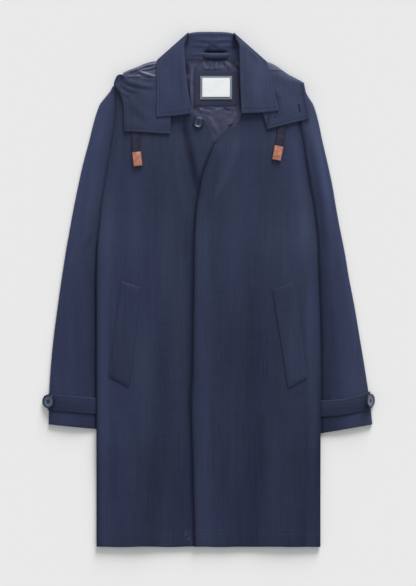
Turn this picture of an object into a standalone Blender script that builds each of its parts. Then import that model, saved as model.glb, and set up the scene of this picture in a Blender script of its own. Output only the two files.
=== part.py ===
"""A hooded raincoat laid flat on its back.

Metres, +Z up. The coat lies on z = 0 with its collar towards +Y, and the origin is the middle of
its footprint. Left and right are the viewer's. The front panels lie on the back panel, and the
sides turn under, so that the side seams lie beneath the coat over the inner edges of the sleeves.
Every cloth piece is a wall on a grid of sections: the grid holds the middle of the wall.
"""

import math
from collections import namedtuple

import bmesh
import bpy
from mathutils import Vector

# Cloth
WALL = 0.0015          # shell cloth with its lining
TRIM_WALL = 0.0010     # welts, patch and label
COLLAR_WALL = 0.0020   # two layers and the interfacing
SEAM = 0.0004          # clear distance between pieces that meet
LOWEST = WALL / 2 + 0.0001  # a wall's middle is never lower
LAYER = WALL + 0.0006  # from one wall's middle to the next one's where they lie close

# Body
HEM_Y = -0.5025
SHOULDER_Y = 0.4435
FOLD_X = 0.2190        # the coat's side folds
WIDE_ROWS_END = 0.350  # above this height the columns close up towards the neck
BACK_FOLD = 0.00115    # radius of the back's side fold, middle of the wall
FRONT_FOLD = BACK_FOLD + LAYER
TAIL_LIFT = WALL / 2 + LAYER + BACK_FOLD  # from a folded side's underside to its folds' axis
BODY_GAP = 0.0030      # open space between front and back in the middle
FLY_LAP = 0.0018       # how far the right front is lifted by the left one under it

# Sleeves
SLEEVE_FOLD = 0.0022
INNER_FOLD = 0.0011
SLEEVE_LIFT = 2 * INNER_FOLD + WALL + SEAM  # what the hidden part of a sleeve lifts the coat
SLEEVE_CROWN = 0.0010  # how much the middle of a sleeve stands above its folds
SIDE_CLEAR = 0.0015    # a sleeve lies flat until this far past the side fold
UNDERARM_Y = 0.155
HIDING_LENGTH = 0.075  # below the underarm, over which the sleeve goes beneath the side
CUFF_BUTTON_R = 0.0125
CUFF_BUTTON_T = 0.0035

# Neck, collar and hood
HOOD_HEIGHT = 0.0055
HOOD_CLEAR = 0.0010    # between the hood and the back above it
BAND_RISE = 0.0038     # hood band's middle above the top of the coat, room for the tape below it
NECK_BUTTON_R = 0.0097
NECK_BUTTON_T = 0.0032
NECK_BUTTON_AT = (-0.0205, 0.3243)

# Drawcords
TAPE_W = 0.0165
TAPE_T = 0.0016
TIP_L = 0.028
TIP_W = 0.0175
TIP_T = 0.0044

Row = namedtuple("Row", "y left right turn tail under")
# turn: degrees that the side edge rolls under, tail: what lies folded under,
# under: how much of the sleeve lies beneath the side fold (1 all of its height)
BODY = [
    Row(HEM_Y, 0.2190, 0.2190, 180, 0.060, 0.00),
    Row(-0.475, 0.2190, 0.2190, 180, 0.060, 0.00),
    Row(-0.420, 0.2190, 0.2190, 180, 0.060, 0.00),
    Row(-0.360, 0.2190, 0.2190, 180, 0.060, 0.35),
    Row(-0.300, 0.2190, 0.2190, 180, 0.060, 1.00),
    Row(-0.235, 0.2190, 0.2190, 180, 0.060, 1.00),
    Row(-0.165, 0.2190, 0.2190, 180, 0.060, 1.00),
    Row(-0.095, 0.2190, 0.2185, 180, 0.058, 1.00),
    Row(-0.030, 0.2190, 0.2165, 180, 0.050, 1.00),
    Row(0.030, 0.2190, 0.2145, 180, 0.030, 1.00),
    Row(0.060, 0.2185, 0.2135, 180, 0.012, 1.00),
    Row(0.080, 0.2180, 0.2130, 150, 0.0005, 1.00),
    Row(0.100, 0.2165, 0.2122, 100, 0.0005, 0.70),
    Row(0.125, 0.2140, 0.2105, 60, 0.0005, 0.35),
    Row(0.155, 0.2115, 0.2080, 30, 0.0005, 0.00),
    Row(0.200, 0.2055, 0.2000, 30, 0.0005, 0.00),
    Row(0.245, 0.1985, 0.1925, 30, 0.0005, 0.00),
    Row(0.290, 0.1910, 0.1865, 30, 0.0005, 0.00),
    Row(0.325, 0.1855, 0.1790, 30, 0.0005, 0.00),
    Row(0.360, 0.1830, 0.1780, 30, 0.0005, 0.00),
    Row(0.385, 0.1835, 0.1810, 30, 0.0005, 0.00),
    Row(0.402, 0.1790, 0.1790, 30, 0.0005, 0.00),
    Row(0.416, 0.1370, 0.1400, 30, 0.0005, 0.00),
    Row(SHOULDER_Y, 0.0800, 0.1030, 30, 0.0005, 0.00),
]

Edge = namedtuple("Edge", "y x")
Reach = namedtuple("Reach", "y left right")  # from where to where a piece runs at a height
# inner edges of the two fronts, from the hem to the shoulder by the neck
LEFT_FRONT_EDGE = [
    Edge(HEM_Y, 0.024), Edge(0.200, 0.024), Edge(0.265, 0.018), Edge(0.290, 0.0115),
    Edge(0.312, 0.005), Edge(0.3315, -0.008), Edge(0.3415, -0.032), Edge(0.352, -0.047),
    Edge(0.380, -0.056), Edge(0.410, -0.062), Edge(SHOULDER_Y, -0.068),
]
RIGHT_FRONT_EDGE = [
    Edge(HEM_Y, -0.0263), Edge(-0.280, -0.0322), Edge(-0.2155, -0.0340), Edge(-0.165, -0.0312),
    Edge(0.0965, -0.0271), Edge(0.152, -0.0236), Edge(0.202, -0.0166), Edge(0.230, -0.0096),
    Edge(0.265, 0.0043), Edge(0.2935, 0.0166), Edge(0.305, 0.030), Edge(0.3155, 0.043),
    Edge(0.322, 0.058), Edge(0.343, 0.0665), Edge(0.352, 0.074), Edge(0.380, 0.082),
    Edge(0.410, 0.087), Edge(SHOULDER_Y, 0.091),
]

Rise = namedtuple("Rise", "at share")
SIDE_RISE = [Rise(0, 0), Rise(0.045, 0), Rise(0.090, 0.32), Rise(0.125, 0.70), Rise(0.155, 1)]
FOLDED_UNDER = [Rise(0.030, 1), Rise(0.080, 0.6), Rise(0.125, 0.2), Rise(0.155, 0)]
HOOD_ACROSS = [Rise(0.120, 1), Rise(0.150, 0.85), Rise(0.186, 0.36), Rise(0.215, 0)]
HOOD_DOWN = [Rise(0.100, 0), Rise(0.125, 0.15), Rise(0.155, 0.38), Rise(0.200, 0.65), Rise(0.245, 0.90),
             Rise(0.290, 1)]

SleeveRow = namedtuple("SleeveRow", "y out_left out_right tuck closed")
# tuck: how far the inner fold lies inside the side fold, closed: 1 where the tube is whole
SLEEVE = [
    SleeveRow(0.397, 0.1905, 0.1900, 0, 0),
    SleeveRow(0.385, 0.1985, 0.1960, 0, 0),
    SleeveRow(0.360, 0.2135, 0.2045, 0, 0),
    SleeveRow(0.330, 0.2235, 0.2135, 0, 0),
    SleeveRow(0.290, 0.2335, 0.2220, 0, 0),
    SleeveRow(0.245, 0.2455, 0.2325, 0, 0),
    SleeveRow(0.200, 0.2555, 0.2420, 0, 0),
    SleeveRow(0.155, 0.2645, 0.2495, 0, 0),
    SleeveRow(0.125, 0.2700, 0.2550, 0, 0),
    SleeveRow(0.100, 0.2745, 0.2600, 0, 0),
    SleeveRow(0.078, 0.2785, 0.2645, 0, 0),
    SleeveRow(0.055, 0.2820, 0.2685, 0.001, 0.5),
    SleeveRow(0.030, 0.2860, 0.2725, 0.008, 1),
    SleeveRow(-0.030, 0.2945, 0.2840, 0.018, 1),
    SleeveRow(-0.095, 0.3030, 0.2950, 0.028, 1),
    SleeveRow(-0.165, 0.3095, 0.3065, 0.040, 1),
    SleeveRow(-0.215, 0.3120, 0.3140, 0.048, 1),
    SleeveRow(-0.262, 0.3126, 0.3194, 0.055, 1),
]
SLEEVE_SLANT = {"left": 0.10, "right": 0.175}  # how the cuff's edge drops towards the coat
SLANT_FROM_Y = -0.095

# Colours: linear red, green, blue; then roughness
NAVY = (0.030, 0.037, 0.075, 0.62)
LINING = (0.080, 0.082, 0.140, 0.35)
DARK_NAVY = (0.018, 0.020, 0.040, 0.60)
GREY_GREEN = (0.220, 0.260, 0.260, 0.70)
WHITE = (0.800, 0.850, 0.850, 0.60)
LEATHER = (0.500, 0.190, 0.110, 0.55)
HORN = (0.008, 0.010, 0.020, 0.20)
TAPE = (0.035, 0.030, 0.045, 0.75)


def between(table, at):
    """Value of a two-column table at a place, on straight lines between its rows."""
    if at <= table[0][0]:
        return table[0][1]
    for low, high in zip(table, table[1:]):
        if at <= high[0]:
            return low[1] + (high[1] - low[1]) * (at - low[0]) / (high[0] - low[0])
    return table[-1][1]


def column(rows, name):
    """Two-column table of one named column against y, in rising y."""
    return sorted((row.y, getattr(row, name)) for row in rows)


def lerp(a, b, share):
    return a + (b - a) * share


def material(name, look):
    made = bpy.data.materials.new(name)
    made.use_nodes = True
    shader = made.node_tree.nodes["Principled BSDF"]
    shader.inputs["Base Color"].default_value = (*look[:3], 1)
    shader.inputs["Roughness"].default_value = look[3]
    shader.inputs["Metallic"].default_value = 0
    return made


def mesh_object(name, points, faces, look):
    mesh = bpy.data.meshes.new(name)
    mesh.from_pydata(points, [], faces)
    mesh.materials.append(material(name + "_finish", look))
    obj = bpy.data.objects.new(name, mesh)
    bpy.context.collection.objects.link(obj)
    return obj


def sheet(name, rows, wall, look):
    """A wall of cloth through a grid of points, all rows of one length."""
    across = len(rows[0])
    points = [point for row in rows for point in row]
    faces = [
        (j * across + i, j * across + i + 1, (j + 1) * across + i + 1, (j + 1) * across + i)
        for j in range(len(rows) - 1)
        for i in range(across - 1)
    ]
    obj = mesh_object(name, points, faces, look)
    solid = obj.modifiers.new("wall", "SOLIDIFY")
    solid.thickness = wall
    solid.offset = 0
    solid.use_even_offset = True
    return obj


def patch(name, corners, steps, height, wall, look):
    """A four-sided piece lying on the coat. corners run round it from its lower left."""
    low_left, low_right, top_right, top_left = (Vector(corner) for corner in corners)
    across, up = steps
    rows = []
    for j in range(up + 1):
        left = low_left.lerp(top_left, j / up)
        right = low_right.lerp(top_right, j / up)
        line = [left.lerp(right, i / across) for i in range(across + 1)]
        rows.append([(p.x, p.y, height(p.x, p.y)) for p in line])
    return sheet(name, rows, wall, look)


# ---- how high each layer lies -------------------------------------------------------------

def hood_lift(x, y):
    return (HOOD_HEIGHT + HOOD_CLEAR) * between(HOOD_ACROSS, abs(x)) * between(HOOD_DOWN, y)


def sleeve_lift(y):
    return SLEEVE_LIFT * between(column(BODY, "under"), y)


def side_lift(x, y):
    folded = (TAIL_LIFT + BACK_FOLD - WALL / 2) * between(FOLDED_UNDER, y)
    return (sleeve_lift(y) + folded) * between(SIDE_RISE, abs(x))


def back_height(x, y):
    return WALL / 2 + hood_lift(x, y) + side_lift(x, y)


def front_height(x, y):
    """Middle of the front that lies straight on the back."""
    flat_share = 1 - min(max((abs(x) - 0.115) / 0.085, 0), 1)
    gap = lerp(LAYER - WALL, BODY_GAP if y < 0.30 else 0.0018, flat_share)
    return back_height(x, y) + WALL + gap


def fly_height(x, y):
    """Middle of the right front, which laps over the left one."""
    return front_height(x, y) + FLY_LAP * (1 - min(max((x - 0.026) / 0.064, 0), 1))


# ---- body ----------------------------------------------------------------------------------

def side_columns(start, edge, y):
    """Places across one half of a panel, from its inner end to the start of the side fold."""
    if y > WIDE_ROWS_END:
        return [lerp(start, edge, share) for share in (0, 0.2, 0.4, 0.55, 0.7, 0.85, 1)]
    narrow = edge / (FOLD_X - FRONT_FOLD)
    tied = [place * narrow for place in (0.090, 0.125, 0.155, 0.188)] + [edge]
    return [start, lerp(start, tied[0], 0.5)] + tied


def body_half(row, side, start, fold, height):
    """Section of one half of a panel: flat columns, the side fold, and what lies under."""
    sign = -1 if side == "left" else 1
    axis_x = getattr(row, side) - WALL / 2 - FRONT_FOLD
    points = [
        (sign * x, row.y, height(sign * x, row.y)) for x in side_columns(start, axis_x, row.y)
    ]
    top = points[-1][2]
    turn = math.radians(row.turn)
    for step in (1, 2, 3):
        angle = turn * step / 3
        x = axis_x + fold * math.sin(angle)
        points.append((sign * x, row.y, max(top - fold * (1 - math.cos(angle)), LOWEST)))
    end_x, _, end_z = points[-1]
    inward = end_x + sign * row.tail * math.cos(turn)
    points.append((inward, row.y, max(end_z - row.tail * math.sin(turn), LOWEST)))
    return points


def build_back():
    rows = []
    for row in BODY:
        left = body_half(row, "left", 0, BACK_FOLD, back_height)
        right = body_half(row, "right", 0, BACK_FOLD, back_height)
        rows.append(left[::-1] + right[1:])
    sheet("back", rows, WALL, NAVY)


def build_fronts():
    edges = {"left": LEFT_FRONT_EDGE, "right": RIGHT_FRONT_EDGE}
    extra = {"left": (0.312, 0.3315, 0.3415), "right": (0.305, 0.3155, 0.343)}
    for side, edge in edges.items():
        sign = -1 if side == "left" else 1
        height = front_height if side == "left" else fly_height
        rows = []
        for row in with_rows(BODY, extra[side]):
            start = sign * between(edge, row.y)
            rows.append(body_half(row, side, start, FRONT_FOLD, height))
        if side == "left":
            rows = [line[::-1] for line in rows]
        sheet("front_" + side, rows, WALL, NAVY)


def with_rows(table, extra):
    """The table with rows put in at these heights, on straight lines between its own."""
    made = list(table)
    for y in extra:
        values = {name: between(column(table, name), y) for name in Row._fields[1:]}
        made.append(Row(y, **values))
    return sorted(made)


# ---- sleeves -------------------------------------------------------------------------------

def armhole_end(side, y):
    """Where the front's edge ends at the armhole: place across, height, and the back's place."""
    x = between(column(BODY, side), y)
    turn = math.radians(between(column(BODY, "turn"), y))
    axis_x = x - WALL / 2 - FRONT_FOLD
    sign = -1 if side == "left" else 1
    top = front_height(sign * axis_x, y)
    reach = math.sin(min(turn, math.pi / 2))
    tail = between(column(BODY, "tail"), y) * max(math.cos(turn), 0)
    height = top - FRONT_FOLD * (1 - math.cos(turn))
    return axis_x + FRONT_FOLD * reach + tail, height, axis_x + BACK_FOLD * reach + tail


def sleeve_section(side, y, out_x, tuck, closed):
    """Section of a sleeve: inner fold, upper layer, outer fold, lower layer."""
    sign = -1 if side == "left" else 1
    seam_x, seam_z, back_x = armhole_end(side, y)

    def floor(x):
        return WALL / 2 + hood_lift(sign * x, y)

    start_x = seam_x + WALL / 2 + SEAM
    inner_x = between(column(BODY, side), y) - tuck
    seam_z = max(seam_z, floor(start_x) + 2 * INNER_FOLD)
    hidden_z = floor(inner_x) + 2 * INNER_FOLD
    seam_z = lerp(seam_z, hidden_z, min(max((UNDERARM_Y - y) / HIDING_LENGTH, 0), 1))
    points = []
    for step, open_shift in ((0, 0.0), (1, 0.0006), (2, 0.0012)):
        angle = math.pi * step / 2
        shut = (inner_x + INNER_FOLD * (1 - math.sin(angle)), floor(inner_x)
                + INNER_FOLD * (1 - math.cos(angle)))
        opened = (start_x + open_shift, seam_z)
        points.append((lerp(opened[0], shut[0], closed), lerp(opened[1], shut[1], closed)))
    outer_x = out_x - WALL / 2 - SLEEVE_FOLD
    first_x, first_z = points[-1]
    fold_top = floor(outer_x) + 2 * SLEEVE_FOLD
    room = min((outer_x - first_x) / 0.05, 1)
    clear_x = lerp(first_x, inner_x + tuck + SIDE_CLEAR, closed)
    for share, crown in ((0.25, 0.2), (0.5, 0.75), (0.75, 1.0)):
        across = lerp(share, (share - 0.25) * 1.4, closed)
        x = lerp(clear_x, outer_x, across)
        z = lerp(first_z, fold_top, across) + SLEEVE_CROWN * crown * room * (across > 0)
        points.append((x, z))
    for step in range(4):
        angle = math.pi * step / 3
        x = outer_x + SLEEVE_FOLD * math.sin(angle)
        points.append((x, floor(outer_x) + SLEEVE_FOLD * (1 + math.cos(angle))))
    end_x = lerp(back_x + WALL / 2 + SEAM, inner_x + INNER_FOLD + WALL / 2 + SEAM, closed)
    points.append((lerp(end_x, outer_x, 0.5), floor(lerp(end_x, outer_x, 0.5))))
    points.append((end_x, floor(end_x)))
    drop = SLEEVE_SLANT[side] * min(max((SLANT_FROM_Y - y) / 0.12, 0), 1)
    return [(sign * x, y - drop * (out_x - x), z) for x, z in points]


def build_sleeves():
    for side in ("left", "right"):
        rows = []
        for row in SLEEVE:
            section = sleeve_section(side, row.y, getattr(row, "out_" + side), row.tuck, row.closed)
            rows.append(section if side == "right" else section[::-1])
        sheet("sleeve_" + side, rows[::-1], WALL, NAVY)


def sleeve_line(side, y):
    """Section of a sleeve at any height below the underarm."""
    rows = {name: between(column(SLEEVE, name), y) for name in ("out_" + side, "tuck")}
    return sleeve_section(side, y, rows["out_" + side], rows["tuck"], 1)


Strap = namedtuple("Strap", "side top_out top_in width tilt button_y button_out button_z")
STRAPS = [
    Strap("left", -0.2040, -0.2115, 0.0320, 25, -0.2184, 0.3128, 0.0096),
    Strap("right", -0.1990, -0.2165, 0.0320, 50, -0.2165, 0.3158, 0.0115),
]


def build_straps():
    for strap in STRAPS:
        sign = -1 if strap.side == "left" else 1
        rows = []
        for share in (0, 0.5, 1):
            y_out = strap.top_out - strap.width * (1 - share)
            y_in = strap.top_in - strap.width * (1 - share)
            line = [Vector(p) for p in sleeve_line(strap.side, (y_out + y_in) / 2)[3:9]]
            moved = moved_out(line, WALL / 2 + SEAM + WALL / 2)
            out_x = max(abs(p.x) for p in moved)
            rows.append([
                (p.x, lerp(y_in, y_out, (abs(p.x) - FOLD_X) / (out_x - FOLD_X)), p.z)
                for p in moved
            ])
        if strap.side == "left":
            rows = [line[::-1] for line in rows]
        sheet("cuff_strap_" + strap.side, rows, WALL, NAVY)
        place = Vector((sign * strap.button_out, strap.button_y, strap.button_z))
        button("cuff_button_" + strap.side, place, CUFF_BUTTON_R, CUFF_BUTTON_T, sign * strap.tilt)


def moved_out(line, distance):
    """Points of a section moved square to it, away from its inside, in the section's plane."""
    moved = []
    for i, point in enumerate(line):
        before = line[max(i - 1, 0)]
        after = line[min(i + 1, len(line) - 1)]
        run = Vector((after.x - before.x, 0, after.z - before.z)).normalized()
        side = -1 if point.x < 0 else 1
        out = Vector((-run.z, 0, run.x)) * side
        moved.append(point + out * distance)
    return moved


def button(name, place, radius, thick, tilt):
    """A turned button with a rim and a dished middle."""
    profile = [
        (0, -0.5), (0.80, -0.5), (1, -0.15), (1, 0.25), (0.90, 0.5), (0.74, 0.5), (0.62, 0.22),
        (0, 0.22),
    ]
    sides = 20
    mesh = bpy.data.meshes.new(name)
    bm = bmesh.new()
    line = [bm.verts.new((radius * r, 0, thick * z)) for r, z in profile]
    edges = [bm.edges.new(pair) for pair in zip(line, line[1:])]
    bmesh.ops.spin(bm, geom=line + edges, cent=(0, 0, 0), axis=(0, 0, 1), angle=math.tau,
                   steps=sides, use_merge=True)
    bmesh.ops.remove_doubles(bm, verts=bm.verts, dist=1e-6)
    bmesh.ops.recalc_face_normals(bm, faces=bm.faces)
    bm.to_mesh(mesh)
    bm.free()
    mesh.materials.append(material(name + "_finish", HORN))
    obj = bpy.data.objects.new(name, mesh)
    obj.location = place
    obj.rotation_euler = (0, math.radians(tilt), 0)
    bpy.context.collection.objects.link(obj)


# ---- pockets -------------------------------------------------------------------------------

def on_front(rise):
    return lambda x, y: max(front_height(x, y), fly_height(x, y)) + WALL / 2 + rise


def build_pockets():
    welts = {
        "left": [(-0.1948, -0.1693), (-0.1550, -0.1903), (-0.1316, 0.0041), (-0.1708, 0.0168)],
        "right": [(0.1554, -0.1925), (0.1925, -0.1724), (0.1671, 0.0158), (0.1248, -0.0012)],
    }
    for side, corners in welts.items():
        height = on_front(SEAM + 0.0002 + TRIM_WALL / 2)
        patch("pocket_welt_" + side, corners, (3, 6), height, TRIM_WALL, NAVY)


# ---- neck ----------------------------------------------------------------------------------

def lining_height(x, y):
    return back_height(x, y) + WALL / 2 + SEAM + TRIM_WALL / 2


def build_neck_lining():
    reach = [
        Reach(0.262, -0.006, 0.030), Reach(0.290, -0.016, 0.042), Reach(0.318, -0.030, 0.066),
        Reach(0.345, -0.050, 0.080), Reach(0.385, -0.060, 0.088), Reach(0.415, -0.0635, 0.0870),
        Reach(0.4320, -0.0600, 0.0815), Reach(0.4425, -0.0520, 0.0705),
    ]
    rows = []
    for row in reach:
        places = [lerp(row.left, row.right, i / 5) for i in range(6)]
        rows.append([(x, row.y, lining_height(x, row.y)) for x in places])
    sheet("neck_lining", rows, TRIM_WALL, LINING)


def build_label():
    pieces = [
        ("label_patch", 0.0138, 0.3926, 0.0840, 0.0670, DARK_NAVY),
        ("label_border", 0.0148, 0.3936, 0.0620, 0.0455, GREY_GREEN),
        ("label_blank", 0.0148, 0.3940, 0.0540, 0.0370, WHITE),
    ]
    for level, (name, x, y, wide, tall, look) in enumerate(pieces, start=1):
        rise = level * (TRIM_WALL + SEAM)
        corners = [
            (x - wide / 2, y - tall / 2), (x + wide / 2, y - tall / 2),
            (x + wide / 2, y + tall / 2), (x - wide / 2, y + tall / 2),
        ]
        patch(name, corners, (2, 2), lambda x, y: lining_height(x, y) + rise, TRIM_WALL, look)


Rib = namedtuple("Rib", "place seam_x seam_y roll_x roll_y")
# the stand from the neck seam up to the roll; on the fronts the leaves fold out over it
STAND = [
    Rib("front", -0.0368, 0.3480, -0.0340, 0.3500),
    Rib("front", -0.0525, 0.3750, -0.0450, 0.3780),
    Rib("front", -0.0590, 0.4040, -0.0490, 0.4080),
    Rib("high", -0.0640, 0.4320, -0.0510, 0.4400),
    Rib("corner", -0.0600, 0.4450, -0.0490, 0.4800),
    Rib("back", -0.0400, 0.4450, -0.0360, 0.4985),
    Rib("back", -0.0120, 0.4450, -0.0110, 0.4993),
    Rib("back", 0.0220, 0.4450, 0.0220, 0.4993),
    Rib("back", 0.0540, 0.4450, 0.0480, 0.4980),
    Rib("corner", 0.0780, 0.4450, 0.0620, 0.4820),
    Rib("high", 0.0840, 0.4320, 0.0650, 0.4400),
    Rib("front", 0.0825, 0.4040, 0.0650, 0.4080),
    Rib("front", 0.0785, 0.3750, 0.0655, 0.3780),
    Rib("front", 0.0690, 0.3480, 0.0665, 0.3500),
]
RibRise = namedtuple("RibRise", "seam roll end reach bulge")
# heights of the stand's seam, roll and end, how far it folds outwards past the roll, and how
# far its middle stands out there
RIB_RISE = {
    "front": RibRise(0.0106, 0.0140, 0.0162, 0, 0),
    "high": RibRise(0.0106, 0.0132, 0.0150, 0, 0),
    "corner": RibRise(0.0086, 0.0105, 0.0122, 0, 0.0003),
    "back": RibRise(0.0073, 0.0075, 0.0042, 0.0021, 0.0013),
}


def build_stand():
    middle_x = (LEAVES["left"].top[0] + LEAVES["right"].top[0]) / 2
    rows = []
    for rib in STAND:
        rise = RIB_RISE[rib.place]
        seam = Vector((rib.seam_x, rib.seam_y, rise.seam))
        roll = Vector((rib.roll_x, rib.roll_y, rise.roll))
        away = Vector((math.copysign(1, roll.x - middle_x), 0, 0))
        if rib.place == "back":
            away = Vector((0, 1, 0))
        end = Vector((roll.x, roll.y, rise.end)) + away * rise.reach
        over = roll.lerp(end, 0.5) + (roll - seam).normalized() * rise.bulge
        rows.append([seam[:], seam.lerp(roll, 0.5)[:], roll[:], over[:], end[:]])
    sheet("collar_stand", rows, WALL, NAVY)


Leaf = namedtuple("Leaf", "top roll_high roll_mid low_in low_out free_high")
# each leaf's own corners in plan: the top corner, down the roll, the two points, the shoulder
LEAVES = {
    "left": Leaf((-0.0440, 0.5000), (-0.0480, 0.4720), (-0.0445, 0.4150), (-0.0335, 0.3425),
                 (-0.1010, 0.3365), (-0.1002, 0.4470)),
    "right": Leaf((0.0560, 0.4990), (0.0605, 0.4720), (0.0620, 0.4150), (0.0650, 0.3430),
                  (0.1368, 0.3485), (0.1148, 0.4430)),
}
LeafHeight = namedtuple("LeafHeight", "roll low_in out fold top under")
LEAF_HEIGHT = LeafHeight(0.0217, 0.0195, 0.0182, 0.0160, 0.0180, 0.0011)


def leaf_line(leaf, share):
    """One line of a leaf, at a share of the way out from its top corner, to its shoulder fold."""
    top = Vector(leaf.top)
    low_in, low_out, shoulder = Vector(leaf.low_in), Vector(leaf.low_out), Vector(leaf.free_high)
    rim = [low_in, low_in.lerp(low_out, 0.5), low_out, low_out.lerp(shoulder, 0.5), shoulder]
    rise = LEAF_HEIGHT
    heights = [rise.low_in, lerp(rise.low_in, rise.out, 0.7), rise.out, rise.out, rise.fold]
    line = []
    for point, height in zip(rim, heights):
        place = top.lerp(point, share)
        line.append((place.x, place.y, lerp(rise.top, height, share)))
    roll = [leaf.top, leaf.roll_high, leaf.roll_mid, leaf.low_in]
    reach = share * 3
    first = min(int(reach), 2)
    start = Vector(roll[first]).lerp(Vector(roll[first + 1]), reach - first)
    crest = math.sin(math.pi * share)
    line[0] = (start.x, start.y, line[0][2] + (rise.roll - rise.low_in) * crest)
    return line


def build_collar():
    bulge = 0.0035
    rows = []
    for share in (0.10, 0.30, 0.55, 0.78, 1.0):
        halves = {}
        for side, leaf in LEAVES.items():
            line = leaf_line(leaf, share)
            edge = Vector(line[-1])
            foot = Vector((edge.x, edge.y, LEAF_HEIGHT.under))
            away = Vector((-0.6 if side == "left" else 0.6, 0.8, 0)) * bulge
            for down, out in ((0.18, 0.75), (0.5, 1), (0.82, 0.75)):
                line.append((edge.lerp(foot, down) + away * out)[:])
            line.append(foot[:])
            halves[side] = line
        left_foot = Vector(halves["left"][-1])
        right_foot = Vector(halves["right"][-1])
        behind = [left_foot.lerp(right_foot, i / 5)[:] for i in range(1, 5)]
        rows.append(halves["left"] + behind + halves["right"][::-1])
    sheet("collar", rows, COLLAR_WALL, NAVY)


def build_hanger_loop():
    half, thick = 0.0225, TRIM_WALL
    centre_x, centre_y, width = 0.0115, 0.4640, 0.0070
    rows = []
    for y in (centre_y - width / 2, centre_y + width / 2):
        line = []
        for step in range(9):
            share = step / 8
            arch = 0.0022 * math.sin(math.pi * share)
            x = centre_x + lerp(-half, half, share)
            line.append((x, y, RIB_RISE["back"].roll + WALL / 2 + SEAM + thick / 2 + arch))
        rows.append(line)
    sheet("hanger_loop", rows, thick, NAVY)


# ---- hood ----------------------------------------------------------------------------------

def build_hood():
    """The part of the hood that lies under the coat: one low rounded solid, flat beneath."""
    reach = [
        Reach(0.165, -0.060, 0.060), Reach(0.190, -0.110, 0.110), Reach(0.235, -0.145, 0.145),
        Reach(0.290, -0.162, 0.162), Reach(0.345, -0.172, 0.172), Reach(0.380, -0.180, 0.181),
        Reach(0.404, -0.1855, 0.1862), Reach(0.418, -0.174, 0.1585), Reach(0.430, -0.147, 0.138),
        Reach(0.4395, -0.124, 0.122),
    ]
    across = 10
    rim_share = 0.30
    upper = []
    for row in reach:
        line = []
        for i in range(across + 1):
            x = lerp(row.left, row.right, i / across)
            share = between(HOOD_ACROSS, abs(x)) * between(HOOD_DOWN, row.y)
            line.append((x, row.y, HOOD_HEIGHT * max(share, rim_share)))
        upper.append(line)
    points = [p for line in upper for p in line]
    points += [(x, y, 0) for x, y, _ in points]
    wide, count = across + 1, len(reach)
    below = wide * count
    faces = []
    for j in range(count - 1):
        for i in range(across):
            a, b = j * wide + i, (j + 1) * wide + i
            faces.append((a, a + 1, b + 1, b))
            faces.append((below + a, below + b, below + b + 1, below + a + 1))
    rim = [i for i in range(wide)] + [j * wide + across for j in range(1, count)]
    rim += [(count - 1) * wide + i for i in range(across - 1, -1, -1)]
    rim += [j * wide for j in range(count - 2, 0, -1)]
    for a, b in zip(rim, rim[1:] + rim[:1]):
        faces.append((a, below + a, below + b, b))
    mesh_object("hood", points, faces, NAVY)


def band_height(x, y):
    """The band lies level with the coat half a tape further in, so that the tape fits under it."""
    side = "left" if x < 0 else "right"
    place = min(abs(x), between(column(BODY, side), y)) - TAPE_W / 2
    return front_height(math.copysign(place, x), y) + WALL / 2 + BAND_RISE


def build_hood_bands():
    reaches = {
        "left": [
            Reach(0.3060, -0.1640, -0.0740), Reach(0.3300, -0.1642, -0.0735),
            Reach(0.3580, -0.1632, -0.0738), Reach(0.3770, -0.1680, -0.0742),
            Reach(0.3930, -0.1775, -0.0750), Reach(0.4040, -0.1835, -0.0760),
            Reach(0.4120, -0.1795, -0.0770),
        ],
        "right": [
            Reach(0.3230, 0.1149, 0.1960), Reach(0.3420, 0.1090, 0.1965),
            Reach(0.3660, 0.1010, 0.1925), Reach(0.3900, 0.0980, 0.1885),
            Reach(0.4020, 0.0970, 0.1862),
        ],
    }
    slant = {"left": 0.06, "right": 0.16}
    for side, reach in reaches.items():
        rows = []
        for j, row in enumerate(reach):
            tilt = slant[side] * (1 - j / (len(reach) - 1))
            line = []
            for i in range(6):
                x = lerp(row.left, row.right, i / 5)
                y = row.y + tilt * (abs(x) - 0.155 if side == "right" else abs(x) - 0.120)
                line.append((x, y, band_height(x, y)))
            rows.append(line)
        if side == "right":
            crest = [(0.116, 0.4400), (0.131, 0.4350), (0.1424, 0.4280), (0.155, 0.4195),
                     (0.170, 0.4115), (0.1862, 0.4022)]
            rows.append([(x, y - 0.004, band_height(x, y - 0.004) - 0.0010) for x, y in crest])
            rows.append([(x, y, 0.0095) for x, y in crest])
        sheet("hood_band_" + side, rows, COLLAR_WALL, NAVY)


def build_hood_lining():
    base = [(-0.1690, 0.4165), (-0.1530, 0.4160), (-0.1370, 0.4155), (-0.1210, 0.4150),
            (-0.1050, 0.4145)]
    crest = [(-0.1660, 0.4235), (-0.1535, 0.4290), (-0.1375, 0.4350), (-0.1219, 0.4417),
             (-0.1051, 0.4456)]
    rows = []
    for share in (0, 0.5, 0.9):
        line = []
        for low, high in zip(base, crest):
            place = Vector(low).lerp(Vector(high), share)
            line.append((place.x, place.y, lerp(0.0148, 0.0125, share)))
        rows.append(line)
    rows.append([(x, y, 0.0090) for x, y in crest])
    sheet("hood_lining_left", rows, TRIM_WALL, LINING)


# ---- drawcords -----------------------------------------------------------------------------

Cord = namedtuple("Cord", "side top_x top_y end_x end_y")
CORDS = [
    Cord("left", -0.1425, 0.3700, -0.1410, 0.2690),
    Cord("right", 0.1490, 0.3790, 0.1380, 0.2800),
]


def rest_on_front(x, y, width, thick):
    """Middle height of a flat piece that lies across the front."""
    lying = max(front_height(x + reach * width / 2, y) for reach in (-1, -0.5, 0, 0.5, 1))
    return lying + WALL / 2 + SEAM + thick / 2


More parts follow.
